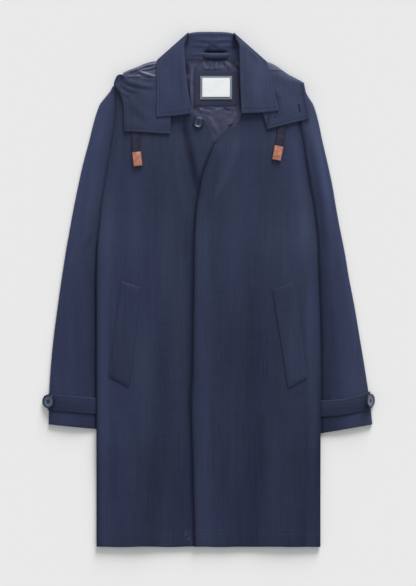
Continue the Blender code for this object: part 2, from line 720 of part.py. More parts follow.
def build_drawcords():
    for cord in CORDS:
        start = Vector((cord.top_x, cord.top_y, 0))
        end = Vector((cord.end_x, cord.end_y, 0))
        run = end - start
        steps = 6
        curve = bpy.data.curves.new("drawcord_" + cord.side, "CURVE")
        curve.dimensions = "3D"
        curve.extrude = TAPE_W / 2 - TAPE_T / 2
        curve.bevel_depth = TAPE_T / 2
        curve.bevel_resolution = 2
        curve.use_fill_caps = True
        spline = curve.splines.new("POLY")
        spline.points.add(steps)
        for i, point in enumerate(spline.points):
            place = start.lerp(end, i / steps)
            point.co = (run.length * i / steps, rest_on_front(place.x, place.y, TAPE_W, TAPE_T), 0, 1)
        curve.materials.append(material("drawcord_" + cord.side + "_finish", TAPE))
        obj = bpy.data.objects.new("drawcord_" + cord.side, curve)
        obj.location = start
        heading = math.atan2(run.y, run.x)
        obj.rotation_euler = (math.pi / 2, 0, heading)
        bpy.context.collection.objects.link(obj)
        build_tip(cord.side, end, heading)


def build_tip(side, end, heading):
    """A folded leather tip at the tape's free end."""
    mesh = bpy.data.meshes.new("cord_tip_" + side)
    bm = bmesh.new()
    bmesh.ops.create_cube(bm, size=1)
    bmesh.ops.scale(bm, vec=(TIP_L, TIP_W, TIP_T), verts=bm.verts)
    bmesh.ops.bevel(bm, geom=list(bm.edges), offset=0.0008, segments=2, affect="EDGES")
    bm.to_mesh(mesh)
    bm.free()
    mesh.materials.append(material("cord_tip_" + side + "_finish", LEATHER))
    obj = bpy.data.objects.new("cord_tip_" + side, mesh)
    along = Vector((math.cos(heading), math.sin(heading), 0))
    centre = end + along * (TIP_L / 2 + 0.0003)
    ends = (end.y, centre.y, centre.y + along.y * TIP_L / 2)
    centre.z = max(rest_on_front(centre.x, y, TIP_W, TIP_T) for y in ends)
    obj.location = centre
    obj.rotation_euler = (0, 0, heading)
    bpy.context.collection.objects.link(obj)


def main():
    for obj in list(bpy.data.objects):
        bpy.data.objects.remove(obj)
    build_back()
    build_fronts()
    build_sleeves()
    build_straps()
    build_pockets()
    build_neck_lining()
    build_label()
    build_stand()
    build_collar()
    build_hanger_loop()
    neck = Vector((*NECK_BUTTON_AT, 0))
    neck.z = front_height(neck.x, neck.y) + WALL / 2 + SEAM + NECK_BUTTON_T / 2
    button("neck_button", neck, NECK_BUTTON_R, NECK_BUTTON_T, 0)
    build_hood()
    build_hood_bands()
    build_hood_lining()
    build_drawcords()


main()
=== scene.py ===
# A hooded raincoat laid flat on its back. Metres, +Z up, +Y towards the collar.
# Left and right are the viewer's, looking straight down on the coat.
import math
from collections import namedtuple

import bmesh
import bpy
from mathutils import Matrix, Vector, noise


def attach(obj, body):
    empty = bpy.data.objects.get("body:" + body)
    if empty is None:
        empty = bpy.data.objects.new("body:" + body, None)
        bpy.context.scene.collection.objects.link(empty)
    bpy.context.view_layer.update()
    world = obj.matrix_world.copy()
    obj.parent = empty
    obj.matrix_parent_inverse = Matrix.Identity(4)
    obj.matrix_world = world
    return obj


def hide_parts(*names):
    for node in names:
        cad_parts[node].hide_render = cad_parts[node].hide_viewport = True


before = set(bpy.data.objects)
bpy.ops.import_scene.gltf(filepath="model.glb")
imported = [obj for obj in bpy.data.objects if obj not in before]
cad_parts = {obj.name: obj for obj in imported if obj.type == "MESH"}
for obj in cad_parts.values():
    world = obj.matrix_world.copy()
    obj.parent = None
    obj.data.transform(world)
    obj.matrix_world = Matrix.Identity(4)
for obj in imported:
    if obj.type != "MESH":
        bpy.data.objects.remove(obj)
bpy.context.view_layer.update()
bpy.ops.object.select_all(action="DESELECT")


# numbers

def blend(a, b, share):
    return a + (b - a) * share


def between(low, high, steps):
    return [blend(low, high, i / steps) for i in range(steps + 1)]


def clamp(value, low=0, high=1.0):
    return min(max(value, low), high)


def ease(value):
    value = clamp(value)
    return value * value * (3 - 2 * value)


def hump(distance, width):               # 1 on the line, 0 from width away
    share = min(abs(distance) / width, 1)
    return (1 - share * share) ** 2


def smoothLine(places):                  # smooth through a short table, never past its values
    xs, ys = zip(*sorted(places))
    steps = [(ys[i + 1] - ys[i]) / (xs[i + 1] - xs[i]) for i in range(len(xs) - 1)]
    slopes = [steps[0]]
    for before, after in zip(steps, steps[1:]):
        same = before * after > 0
        slopes.append(2 * before * after / (before + after) if same else 0)
    slopes.append(steps[-1])

    def at(x):
        x = clamp(x, xs[0], xs[-1])
        i = 0
        while i < len(steps) - 1 and x > xs[i + 1]:
            i += 1
        wide = xs[i + 1] - xs[i]
        t = (x - xs[i]) / wide
        low = ys[i] * (1 + 2 * t) * (1 - t) ** 2 + slopes[i] * wide * t * (1 - t) ** 2
        high = ys[i + 1] * t * t * (3 - 2 * t) - slopes[i + 1] * wide * t * t * (1 - t)
        return low + high

    return at


def uneven(x, y, size, depth, seed):     # soft random waves of about this size
    return noise.noise(Vector((x / size, y / size, seed))) * depth


crease = namedtuple("crease", "fromX fromY toX toY bow wide high")


def folds(*rows):                        # a table of creases, all in millimetres
    return [crease(*(value / 1000 for value in row)) for row in rows]


def paintedStrokes(*rows):                      # the same, with high how much lighter (painted light) or darker (painted shade) it is
    return [crease(*(value / 1000 for value in row[:-1]), row[-1]) for row in rows]


def beside(c, x, y):                     # how far off a bowed line, and along it from 0 to 1
    runX, runY = c.toX - c.fromX, c.toY - c.fromY
    length = math.hypot(runX, runY)
    along = ((x - c.fromX) * runX + (y - c.fromY) * runY) / length ** 2
    off = ((x - c.fromX) * runY - (y - c.fromY) * runX) / length
    return off - c.bow * 4 * along * (1 - along), along


def creased(x, y, creases):              # ridges, or troughs where high is negative
    lift = 0
    for c in creases:
        off, along = beside(c, x, y)
        if 0 < along < 1:
            fade = ease(along / 0.25) * ease((1 - along) / 0.25)
            lift += c.high * fade * (hump(off, c.wide) - 0.45 * hump(off - 1.3 * c.wide, c.wide))
    return lift


def paintedShading(x, y, lightAndShade):                # soft strokes of painted highlight and painted shade
    tone = 0
    for c in lightAndShade:
        off, along = beside(c, x, y)
        if 0 < along < 1:
            tone += c.high * hump(off, c.wide) * ease(along / 0.2) * ease((1 - along) / 0.3)
    return tone


signOf = {"left": -1, "right": 1}


# camera, floor and light

view = {"lens": 100, "sensor": 36, "height": 3.187, "middle": (-0.001, -0.0068)}


def buildView():
    data = bpy.data.cameras.new("viewCamera")
    data.lens = view["lens"]
    data.sensor_width = view["sensor"]
    camera = bpy.data.objects.new("viewCamera", data)
    camera.location = (*view["middle"], view["height"])
    bpy.context.scene.collection.objects.link(camera)
    bpy.context.scene.camera = camera
    bpy.context.scene.view_settings.view_transform = "Standard"


studio = {"ambient": 0.49, "ambientColour": (0.985, 0.99, 1, 1), "keyColour": (1, 0.995, 0.985),
          "keyStrength": 3.85, "keyHeight": 20, "keyTurn": 14, "keySoft": 30, "floorWide": 60,
          "floorDrop": 0.0002}


def buildStudio():
    world = bpy.data.worlds.new("studio")
    world.use_nodes = True
    ambient = world.node_tree.nodes["Background"].inputs
    ambient["Color"].default_value = studio["ambientColour"]
    ambient["Strength"].default_value = studio["ambient"]
    bpy.context.scene.world = world
    data = bpy.data.lights.new("keyLight", "SUN")
    data.energy = studio["keyStrength"]
    data.angle = math.radians(studio["keySoft"])
    data.color = studio["keyColour"]
    key = bpy.data.objects.new("keyLight", data)
    key.rotation_euler = (math.radians(studio["keyHeight"] - 90), 0,
                          math.radians(-studio["keyTurn"]))
    bpy.context.scene.collection.objects.link(key)
    bpy.ops.mesh.primitive_plane_add(size=studio["floorWide"],
                                     location=(0, 0, -studio["floorDrop"]))
    floor = bpy.context.object
    floor.name = "studioFloor"
    floor.data.transform(Matrix.Translation(floor.location))
    floor.location = (0, 0, 0)
    floor.data.materials.append(floorFinish())
    floor.select_set(False)


# finishes

class Value:                             # a shader socket that can be added, multiplied and so on
    def __init__(self, finish, socket):
        self.finish, self.socket = finish, socket

    def maths(self, operation, *values):
        return self.finish.node("ShaderNodeMath", {"operation": operation}, *values)

    def __add__(self, other):
        return self.maths("ADD", self, other)

    __radd__ = __add__

    def __sub__(self, other):
        return self.maths("SUBTRACT", self, other)

    def __rsub__(self, other):
        return self.maths("SUBTRACT", other, self)

    def __mul__(self, other):
        return self.maths("MULTIPLY", self, other)

    __rmul__ = __mul__

    def sine(self):
        return self.maths("SINE", self)

    def size(self):
        return self.maths("ABSOLUTE", self)

    def root(self):
        return self.maths("SQRT", self)

    def part(self):                      # what is left after the whole turns
        return self.maths("FRACT", self)

    def most(self, other):
        return self.maths("MAXIMUM", self, other)

    def least(self, other):
        return self.maths("MINIMUM", self, other)

    def step(self, start, end, low=0, high=1.0):
        return self.finish.node("ShaderNodeMapRange", {"interpolation_type": "SMOOTHSTEP"},
                                self, start, end, low, high)


class Finish:                            # one material and what is wired into its shader
    def __init__(self, name, roughness=0.6, **constant):
        self.material = bpy.data.materials.new(name)
        self.material.use_nodes = True
        self.tree = self.material.node_tree
        self.shader = self.tree.nodes["Principled BSDF"]
        self.shader.inputs["Roughness"].default_value = roughness
        for socket, value in constant.items():
            self.shader.inputs[socket.replace("_", " ")].default_value = value

    def join(self, socket, value):
        if isinstance(value, Value):
            self.tree.links.new(value.socket, socket)
        elif value is not None:
            socket.default_value = value

    def node(self, kind, settings=None, *values, out=0, **named):
        made = self.tree.nodes.new(kind)
        for key, value in (settings or {}).items():
            setattr(made, key, value)
        for socket, value in zip(made.inputs, values):
            self.join(socket, value)
        for key, value in named.items():
            self.join(made.inputs[key.replace("_", " ")], value)
        return Value(self, made.outputs[out])

    def parts(self, vector):
        made = self.node("ShaderNodeSeparateXYZ", None, vector).socket.node
        return [Value(self, made.outputs[i]) for i in range(3)]

    def uv(self):
        return self.parts(self.node("ShaderNodeUVMap", {"uv_map": "cloth"}))[:2]

    def marked(self, name, out):         # what mark() wrote on the cloth
        return self.node("ShaderNodeAttribute", {"attribute_name": name}, out=out)

    # what mark() wrote as painted light and painted shade
    def tone(self):
        return self.marked("tone", 2)

    def grainNoise(self, scale, detail, **more):           # noise that follows the object's place
        where = self.node("ShaderNodeTexCoord", None, out=3)
        return self.node("ShaderNodeTexNoise", None, Vector=where, Scale=scale, Detail=detail,
                         **more)

    def speckle(self, x, y, z, detail=2, rough=0.5):       # noise from 0 to 1
        where = self.node("ShaderNodeCombineXYZ", None, x, y, z)
        return self.node("ShaderNodeTexNoise", None, Vector=where, Scale=1.0, Detail=detail,
                         Roughness=rough)

    def mix(self, share, low, high):     # the colours are a mix node's seventh and eighth inputs
        return self.node("ShaderNodeMix", {"data_type": "RGBA"}, share, *[None] * 5, low, high,
                         out=2)

    def bump(self, height, distance):
        return self.node("ShaderNodeBump", None, Strength=1.0, Distance=distance, Height=height)

    def set(self, **wired):
        for key, value in wired.items():
            self.join(self.shader.inputs[key.replace("_", " ")], value)
        return self.material

    def stitching(self, pitch=0.0032):   # (thread, groove) along the piece's own stitched lines
        thread, groove = 0, 0
        for name in ("stitchA", "stitchB"):
            gap, run, _ = self.parts(self.marked(name, 1))
            gap = gap.size()
            dash = ((run * (1 / pitch)).part() - 0.5).size().step(0.3, 0.42, 1, 0)
            thread = gap.step(0.00018, 0.0004, 1, 0) * dash + thread
            groove = gap.step(0.0004, 0.0018, 1, 0) + groove
        return thread.least(1), groove.least(1)


def rgb(red, green, blue):
    return (red, green, blue, 1)


shellLook = {"dark": rgb(0.004, 0.0075, 0.029), "light": rgb(0.043, 0.057, 0.115),
             "violet": rgb(0.04, 0.0525, 0.1205), "thread": rgb(0.022, 0.028, 0.062),
             "groove": rgb(0.004, 0.006, 0.018), "level": 0.38, "bump": 0.00028}


def shellFinish():
    look = shellLook
    made = Finish("shellCloth", 0.62, Sheen_Weight=0.07, Sheen_Roughness=0.45,
                  Specular_IOR_Level=0.24)
    u, v = made.uv()
    slub = made.speckle(u * 330, v * 5, 3.1, 3, 0.6)       # yarns along the cloth
    yarn = made.speckle(u * 1500, v * 40, 8.4, 2, 0.5)
    cross = made.speckle(u * 30, v * 700, 5.2, 2, 0.5)
    broad = made.speckle(u * 16, v * 2.4, 1.7, 2, 0.5)
    light = (slub - 0.5) * 0.32 + (yarn - 0.5) * 0.36 + (cross - 0.5) * 0.26
    # the marked value adds painted light and painted shade: lighter upper pieces, darker seams,
    # folds and hollows
    light = (light + (broad - 0.5) * 0.6 + made.tone() + look["level"]).most(0).least(1)
    thread, groove = made.stitching()
    hue = made.speckle(u * 11, v * 2.0, 9.3, 2, 0.5).step(0.4, 0.62)
    colour = made.mix(light, look["dark"], made.mix(hue, look["light"], look["violet"]))
    # stitched grooves are pressed in by the bump and darkened too, the darkening painted shade
    colour = made.mix(groove * 0.2, colour, look["groove"])
    colour = made.mix(thread * 0.5, colour, look["thread"])
    across, along, _ = made.parts(made.marked("slit", 1))
    dotX, dotY, _ = made.parts(made.marked("dot", 1))
    across, along = across.size(), along.size()            # along is 1 at the slit's ends
    # the buttonhole's opening is painted near black, painted shade in the slit; a small dark spot
    # is painted beside it
    bound = across.step(0.0018, 0.0028, 1, 0) * along.step(1.02, 1.14, 1, 0)
    slit = across.step(0.0011, 0.0017, 1, 0) * along.step(0.92, 1.02, 1, 0)
    slit = slit.most((dotX * dotX + dotY * dotY).root().step(0.0012, 0.0024, 1, 0) * 0.8)
    colour = made.mix(bound * 0.5, colour, look["thread"])
    colour = made.mix(slit, colour, look["groove"])
    weave = (u * 6283).sine() * (v * 5712).sine()
    height = weave * 0.05 + yarn * 0.3 + slub * 0.25 + cross * 0.15
    height = height - groove * 0.5 + thread * 0.5 + bound * 0.8 - slit * 3.0
    normal = made.bump(height, look["bump"])
    return made.set(Base_Color=colour, Roughness=0.7 - yarn * 0.14, Normal=normal)


def liningFinish():
    made = Finish("satinLining", 0.42, Sheen_Weight=0.08, Specular_IOR_Level=0.3)
    u, v = made.uv()
    shot = made.speckle(u * 900, v * 30, 4.0, 2, 0.5)
    cloud = made.speckle(u * 26, v * 11, 2.0, 3, 0.5)
    # the marked value adds painted light and painted shade at half strength
    light = (cloud * 0.7 + shot * 0.5 - 0.18 + made.tone() * 0.5).most(0).least(1)
    colour = made.mix(light, rgb(0.013, 0.015, 0.04), rgb(0.096, 0.103, 0.19))
    twill = ((u + v) * 7800).sine()
    normal = made.bump(twill * 0.1 + shot * 0.4, 0.0001)
    return made.set(Base_Color=colour, Roughness=0.36 + cloud * 0.16, Normal=normal)


def wovenFinish(name, dark, light, roughness, pitch):
    made = Finish(name, roughness, Sheen_Weight=0.08, Specular_IOR_Level=0.35)
    u, v = made.uv()
    turns = 6.283 / pitch
    weave = (u * turns).sine() * (v * turns).sine()
    fleck = made.speckle(u * 900, v * 900, 2.0, 2, 0.5)
    thread, groove = made.stitching()
    colour = made.mix((weave * 0.25 + fleck * 0.9).step(0, 1.1), dark, light)
    # stitched grooves darkened as painted shade
    colour = made.mix(groove * 0.35, colour, dark)
    normal = made.bump(weave * 0.4 + fleck * 0.3 - groove * 0.8 + thread * 0.8, 0.00018)
    return made.set(Base_Color=colour, Roughness=roughness + fleck * 0.1, Normal=normal)


def tapeFinish():
    made = Finish("wovenTape", 0.75, Sheen_Weight=0.1, Specular_IOR_Level=0.3)
    u, v = made.uv()                     # u is across the tape from its middle, v along it
    edge = u.size().step(0.005, 0.0078)
    rib = ((v + u.size() * 0.7) * 4200).sine()             # herringbone
    fleck = made.speckle(u * 1200, v * 700, 6.0, 2, 0.5)
    colour = made.mix((rib * 0.25 + fleck).step(0, 1.2), rgb(0.008, 0.009, 0.025),
                      rgb(0.028, 0.031, 0.077))
    colour = made.mix(edge * 0.75, colour, rgb(0.005, 0.004, 0.01))
    normal = made.bump(rib * 0.4 + fleck * 0.4 - edge * 0.3, 0.00025)
    return made.set(Base_Color=colour, Roughness=0.72 + fleck * 0.1, Normal=normal)


def leatherFinish():
    made = Finish("tanLeather", 0.5, Specular_IOR_Level=0.45)
    where = made.node("ShaderNodeTexCoord", None, out=3)
    cells = made.node("ShaderNodeTexVoronoi", {"feature": "DISTANCE_TO_EDGE"}, Vector=where,
                      Scale=1500.0)
    stain = made.grainNoise(160.0, 4.0)
    u, v = made.uv()
    edge = (u.size() - 0.0125).most(v.size() - 0.0072).step(-0.0004, 0.0014)
    grain = cells.step(0, 0.1)
    colour = made.mix(stain.step(0.25, 0.75), rgb(0.38, 0.145, 0.09), rgb(0.6, 0.27, 0.18))
    colour = made.mix((1 - grain) * 0.3, colour, rgb(0.16, 0.05, 0.02))
    colour = made.mix(edge * 0.65, colour, rgb(0.12, 0.04, 0.02))
    normal = made.bump(grain * 0.5 + stain * 0.3, 0.00012)
    return made.set(Base_Color=colour, Roughness=0.58 - grain * 0.1, Normal=normal)


def hornFinish(name, face, paintedGlintWeight):
    made = Finish(name, 0.18, Coat_Weight=0.25, Coat_Roughness=0.06, Specular_IOR_Level=0.4)
    swirl = made.grainNoise(130.0, 3.0, Distortion=2.5)
    u, v = made.uv()                     # across and up the button, 1 at its rim
    out = (u * u + v * v).root()
    dish = out.step(0.62, 0.78, 1, 0) * out.step(0.16, 0.34)
    rim = out.step(0.62, 0.72) * out.step(0.84, 0.95, 1, 0)
    paintedGlint = rim * (u * 0.55 + v * 0.83).size().step(0.52, 0.8)          # painted highlight: two crescents on the rim
    colour = made.mix(swirl.step(0.35, 0.7), rgb(0.002, 0.003, 0.009), rgb(0.012, 0.016, 0.036))
    colour = made.mix(dish * (swirl * 0.7 + 0.45), colour, face)
    # the crescents are a painted highlight in light blue
    colour = made.mix(paintedGlint * paintedGlintWeight, colour, rgb(0.2, 0.26, 0.38))
    return made.set(Base_Color=colour, Roughness=0.16 + swirl * 0.14)


def threadFinish():
    made = Finish("buttonThread", 0.7, Sheen_Weight=0.1)
    ply = made.grainNoise(2500.0, 2.0)
    return made.set(Base_Color=made.mix(ply, rgb(0.006, 0.007, 0.014), rgb(0.03, 0.032, 0.05)),
                    Normal=made.bump(ply, 0.0001))


def floorFinish():
    made = Finish("paleFloor", 0.9, Specular_IOR_Level=0)
    return made.set(Base_Color=rgb(0.905, 0.905, 0.905))


# cloth

cloth = {"edge": 0.36, "edgeAngle": 62, "smoothAngle": 60,
         "unmarked": (9, 9), "unstitched": (0.05, 0)}


def pickOnly(piece):
    bpy.ops.object.select_all(action="DESELECT")
    bpy.context.view_layer.objects.active = piece
    piece.select_set(True)


def laidMesh(name, points, faces, finish, uvs):          # its uv map is the cloth laid flat
    mesh = bpy.data.meshes.new(name)
    mesh.from_pydata([point for row in points for point in row], [], faces)
    flat = [uv for row in uvs for uv in row]
    layer = mesh.uv_layers.new(name="cloth")
    for loop in mesh.loops:
        layer.data[loop.index].uv = flat[loop.vertex_index]
    mesh.materials.append(finish)
    piece = bpy.data.objects.new(name, mesh)
    bpy.context.scene.collection.objects.link(piece)
    return piece


def clothGrid(name, rows, thickness, finish, uvs, stitchA=None, stitchB=None, tone=0,
              slit=None, dot=None, even=True):
    across = len(rows[0])
    faces = [(j * across + i, j * across + i + 1, (j + 1) * across + i + 1, (j + 1) * across + i)
             for j in range(len(rows) - 1) for i in range(across - 1)]
    piece = laidMesh(name, rows, faces, finish, uvs)
    mark(piece.data, tone, stitchA=stitchA, stitchB=stitchB, slit=slit, dot=dot)
    thicken(piece, thickness, even)
    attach(piece, "root")
    return piece


def layFlat(rows, shift=(0, 0)):         # uvs in the cloth's own flat size
    middle = len(rows[0]) // 2
    laid, along = [], 0
    for j, row in enumerate(rows):
        if j:
            along += (Vector(row[middle]) - Vector(rows[j - 1][middle])).length
        across = [0]
        for a, b in zip(row, row[1:]):
            across.append(across[-1] + (Vector(b) - Vector(a)).length)
        laid.append([(u - across[middle] + shift[0], along + shift[1]) for u in across])
    return laid


def arcUvs(rows, startAt, shift):        # cloth laid out flat, across from a known place
    laid = []
    for row, start in zip(rows, startAt):
        u = [start]
        for a, b in zip(row, row[1:]):
            u.append(u[-1] + math.hypot(b[0] - a[0], b[2] - a[2]))
        laid.append([(across + shift[0], point[1] + shift[1]) for across, point in zip(u, row)])
    return laid


def mark(mesh, tone, **lines):           # what the finishes read, point by point, painted light and shade among them
    count = len(mesh.vertices)
    for key, field in lines.items():
        made = mesh.attributes.new(key, "FLOAT_VECTOR", "POINT")
        values = [v for row in field for v in row] if field else [cloth["unmarked"]] * count
        for spot, (gap, run) in zip(made.data, values):
            spot.vector = (gap, run, 0)
    made = mesh.attributes.new("tone", "FLOAT", "POINT")
    values = [v for row in tone for v in row] if isinstance(tone, list) else [tone] * count
    for spot, value in zip(made.data, values):
        spot.value = value


def thicken(piece, thickness, even):     # a wall with soft edges round the middle surface
    pickOnly(piece)
    solid = piece.modifiers.new("wall", "SOLIDIFY")
    solid.thickness = thickness
    solid.offset = 0
    solid.use_even_offset = even
    bpy.ops.object.modifier_apply(modifier="wall")
    soft = piece.modifiers.new("softEdge", "BEVEL")
    soft.width = thickness * cloth["edge"]
    soft.segments = 2
    soft.limit_method = "ANGLE"
    soft.angle_limit = math.radians(cloth["edgeAngle"])
    bpy.ops.object.modifier_apply(modifier="softEdge")
    bpy.ops.object.shade_smooth_by_angle(angle=math.radians(cloth["smoothAngle"]))
    piece.select_set(False)


def joinSlivers(piece):                  # merges the points that a tight fold brings together
    pickOnly(piece)
    bpy.ops.object.mode_set(mode="EDIT")
    bpy.ops.mesh.select_all(action="SELECT")
    bpy.ops.mesh.remove_doubles(threshold=0.00001)
    bpy.ops.mesh.dissolve_degenerate(threshold=0.00001)
    bpy.ops.object.mode_set(mode="OBJECT")
    bpy.ops.object.shade_smooth_by_angle(angle=math.radians(cloth["smoothAngle"]))
    piece.select_set(False)


def closedSkin(name, rings, finish, uvs):                # a closed form from rings of points
    count = len(rings[0])
    faces = [(j * count + i, j * count + (i + 1) % count, (j + 1) * count + (i + 1) % count,
              (j + 1) * count + i) for j in range(len(rings) - 1) for i in range(count)]
    faces.append(tuple(range(count))[::-1])
    faces.append(tuple((len(rings) - 1) * count + i for i in range(count)))
    piece = laidMesh(name, rings, faces, finish, uvs)
    mark(piece.data, 0, stitchA=None, stitchB=None, slit=None, dot=None)
    pickOnly(piece)
    bpy.ops.object.mode_set(mode="EDIT")
    bpy.ops.mesh.select_all(action="SELECT")
    bpy.ops.mesh.normals_make_consistent(inside=False)
    bpy.ops.object.mode_set(mode="OBJECT")
    bpy.ops.object.shade_smooth_by_angle(angle=math.radians(50))
    piece.select_set(False)
    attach(piece, "root")
    return piece


def flipped(rows):
    return [row[::-1] for row in rows]


# body: what the panels are cut to and how high they lie

coat = {"wall": 0.0015, "seam": 0.0004, "layer": 0.0021, "hemY": -0.5025, "shoulderY": 0.4435,
        "backFold": 0.00115, "bodyGap": 0.003, "neckGap": 0.0018, "flyLap": 0.0018,
        "hoodLift": 0.0065, "hemDepth": 0.027, "neckGapY": 0.315, "flatTo": 0.115,
        "flatFade": 0.085, "clear": 0.0001}                # clear keeps cloth off the surface
wall = coat["wall"]
frontFold = coat["backFold"] + coat["layer"]
tailLift = wall / 2 + coat["layer"] + coat["backFold"]
innerFold, sleeveFold = 0.0011, 0.0022
sleeveLift = 2 * innerFold + wall + coat["seam"]

bodyRow = namedtuple("bodyRow", "y left right turn tail under")
body = [
    bodyRow(-0.5025, 0.219, 0.219, 180, 0.06, 0),
    bodyRow(-0.42, 0.219, 0.219, 180, 0.06, 0),
    bodyRow(-0.36, 0.219, 0.219, 180, 0.06, 0.35),
    bodyRow(-0.3, 0.219, 0.219, 180, 0.06, 1),
    bodyRow(-0.165, 0.219, 0.219, 180, 0.06, 1),
    bodyRow(-0.095, 0.219, 0.2185, 180, 0.058, 1),
    bodyRow(-0.03, 0.219, 0.2165, 180, 0.05, 1),
    bodyRow(0.03, 0.219, 0.2145, 180, 0.03, 1),
    bodyRow(0.06, 0.2185, 0.2135, 180, 0.012, 1),
    bodyRow(0.08, 0.218, 0.213, 150, 0.0005, 0.88),
    bodyRow(0.1, 0.2165, 0.2122, 100, 0.0005, 0.68),
    bodyRow(0.125, 0.214, 0.2105, 60, 0.0005, 0.4),
    bodyRow(0.155, 0.2115, 0.208, 30, 0.0005, 0.14),
    bodyRow(0.2, 0.2055, 0.2, 30, 0.0005, 0),
    bodyRow(0.245, 0.1985, 0.1925, 30, 0.0005, 0),
    bodyRow(0.29, 0.191, 0.1865, 30, 0.0005, 0),
    bodyRow(0.325, 0.1855, 0.179, 30, 0.0005, 0),
    bodyRow(0.36, 0.183, 0.178, 30, 0.0005, 0),
    bodyRow(0.385, 0.1835, 0.181, 30, 0.0005, 0),
    bodyRow(0.402, 0.179, 0.179, 30, 0.0005, 0),
    bodyRow(0.416, 0.137, 0.14, 30, 0.0005, 0),
    bodyRow(0.4435, 0.08, 0.103, 30, 0.0005, 0),
]
bodyAt = {name: smoothLine([(row.y, getattr(row, name)) for row in body])
          for name in bodyRow._fields[1:]}

frontEdge = {
    "left": smoothLine([(-0.5025, 0.024), (0.2, 0.024), (0.265, 0.018), (0.29, 0.0115),
                        (0.312, 0.005), (0.3315, -0.008), (0.3415, -0.032), (0.352, -0.047),
                        (0.38, -0.056), (0.41, -0.062), (0.4435, -0.068)]),
    "right": smoothLine([(-0.5025, -0.0263), (-0.28, -0.0322), (-0.2155, -0.034),
                         (-0.165, -0.0312), (0.0965, -0.0271), (0.152, -0.0236), (0.202, -0.0166),
                         (0.23, -0.0096), (0.265, 0.0043), (0.2935, 0.0166), (0.305, 0.03),
                         (0.3155, 0.043), (0.322, 0.058), (0.343, 0.0665), (0.352, 0.074),
                         (0.38, 0.082), (0.41, 0.087), (0.4435, 0.091)]),
}
sideRise = smoothLine([(0, 0), (0.045, 0), (0.09, 0.32), (0.125, 0.7), (0.155, 1), (0.3, 1)])
foldedUnder = smoothLine([(-0.6, 1), (0, 1), (0.04, 0.9), (0.08, 0.6), (0.125, 0.22),
                          (0.155, 0.06), (0.2, 0)])
hoodAcross = smoothLine([(0, 1), (0.12, 1), (0.15, 0.85), (0.186, 0.36), (0.215, 0), (0.4, 0)])
hoodDown = smoothLine([(-0.6, 0), (0.055, 0), (0.09, 0.035), (0.125, 0.15), (0.155, 0.32),
                       (0.2, 0.62), (0.245, 0.9), (0.29, 1), (0.5, 1)])

bodyCreases = folds(
    (-50, 334, -15, 190, 4, 11, -1.3),    # from the left leaf's point
    (56, 306, -8, 150, -10, 13, 1.3),     # along the fly's curve
    (-150, 250, -170, -20, 6, 20, 1),
    (145, 240, 175, 30, -6, 22, 1),
    (-90, 100, -80, -380, 4, 30, -1.1),
    (60, 120, 70, -420, -6, 32, -1.2),
    (5, 90, 0, -470, 2, 22, 0.7),
    (-185, -200, -175, -490, 3, 18, 0.8),
    (175, -210, 180, -495, -3, 20, 0.8),
    (-45, -472, -30, -500, 1, 3.5, 1.4),   # nick at the hem by the fly
    (-110, -190, -80, -330, -4, 16, 0.6),
    (100, -200, 120, -350, 5, 18, 0.6),
)


bodyPaintedShade = paintedStrokes(                    # soft strokes of painted shade along folds and creases, and of painted highlight
    (-50, 344, -12, 170, 4, 13, -0.42),
    (60, 310, -6, 150, -10, 12, 0.16),
    (20, 280, -12, 130, -6, 10, -0.1),
    (-70, 330, -30, 120, 6, 16, 0.1),
    (-145, 270, -130, 0, 4, 24, 0.12),
    (-30, 180, -28, -480, 2, 22, -0.14),
    (158, 320, 190, 50, -6, 18, 0.12),
    (-45, -472, -30, -500, 1, 3, 0.6),
    (85, 180, 90, -480, -4, 34, -0.12),
    (205, 50, 208, -430, 1, 20, 0.16),
    (-205, 50, -206, -430, 1, 20, 0.12),
    (-85, 50, -100, -470, 4, 30, -0.1),
)


def hoodUnder(x, y):
    return coat["hoodLift"] * hoodAcross(abs(x)) * hoodDown(y)


def backMiddle(x, y):
    sleeve = sleeveLift * bodyAt["under"](y)
    folded = (tailLift + coat["backFold"] - wall / 2) * foldedUnder(y)
    return wall / 2 + hoodUnder(x, y) + (sleeve + folded) * sideRise(abs(x))


def hemStep(y):                          # the turned hem makes the cloth double
    return 0.0005 * ease((coat["hemY"] + coat["hemDepth"] - y) / 0.004 + 0.5)


def innerGap(x, below):                  # between the back and a front; below is 1 under the neck
    flatShare = 1 - clamp((abs(x) - coat["flatTo"]) / coat["flatFade"])
    opening = blend(coat["neckGap"], coat["bodyGap"], below)
    return blend(coat["layer"] - wall, opening, flatShare)


def belowNeck(y):
    return ease((coat["neckGapY"] - y) / 0.05)


def frontMiddle(x, y):
    gap = innerGap(x, belowNeck(y))
    inner = ease((bodyAt["left" if x < 0 else "right"](y) - abs(x)) / 0.035)
    waves = creased(x, y, bodyCreases) + uneven(x, y * 0.35, 0.06, 0.0009, 4.0)
    waves += uneven(x, y * 0.6, 0.022, 0.00025, 9.0)
    return backMiddle(x, y) + wall + gap + hemStep(y) + waves * inner * 0.9


def flyMiddle(x, y):                     # the right front laps over the left one
    lap = coat["flyLap"] * (1 - ease((x - 0.03) / 0.06))
    curl = 0.0009 * hump(x - frontEdge["right"](y), 0.012) * (y < 0.28)
    return frontMiddle(x, y) + lap + curl


def coatTop(x, y):
    over = x > frontEdge["right"](y)
    return (flyMiddle(x, y) if over else frontMiddle(x, y)) + wall / 2


def waveHem(rows, seed):                 # the hem doesn't hang quite straight
    for row in rows:
        for p in row:
            p.y += uneven(p.x, 0, 0.05, 0.0014, seed) * ease((coat["hemY"] + 0.06 - p.y) / 0.06)


def hemMarks(rows):
    return [[(p.y - coat["hemY"] - coat["hemDepth"], p.x) for p in row] for row in rows]


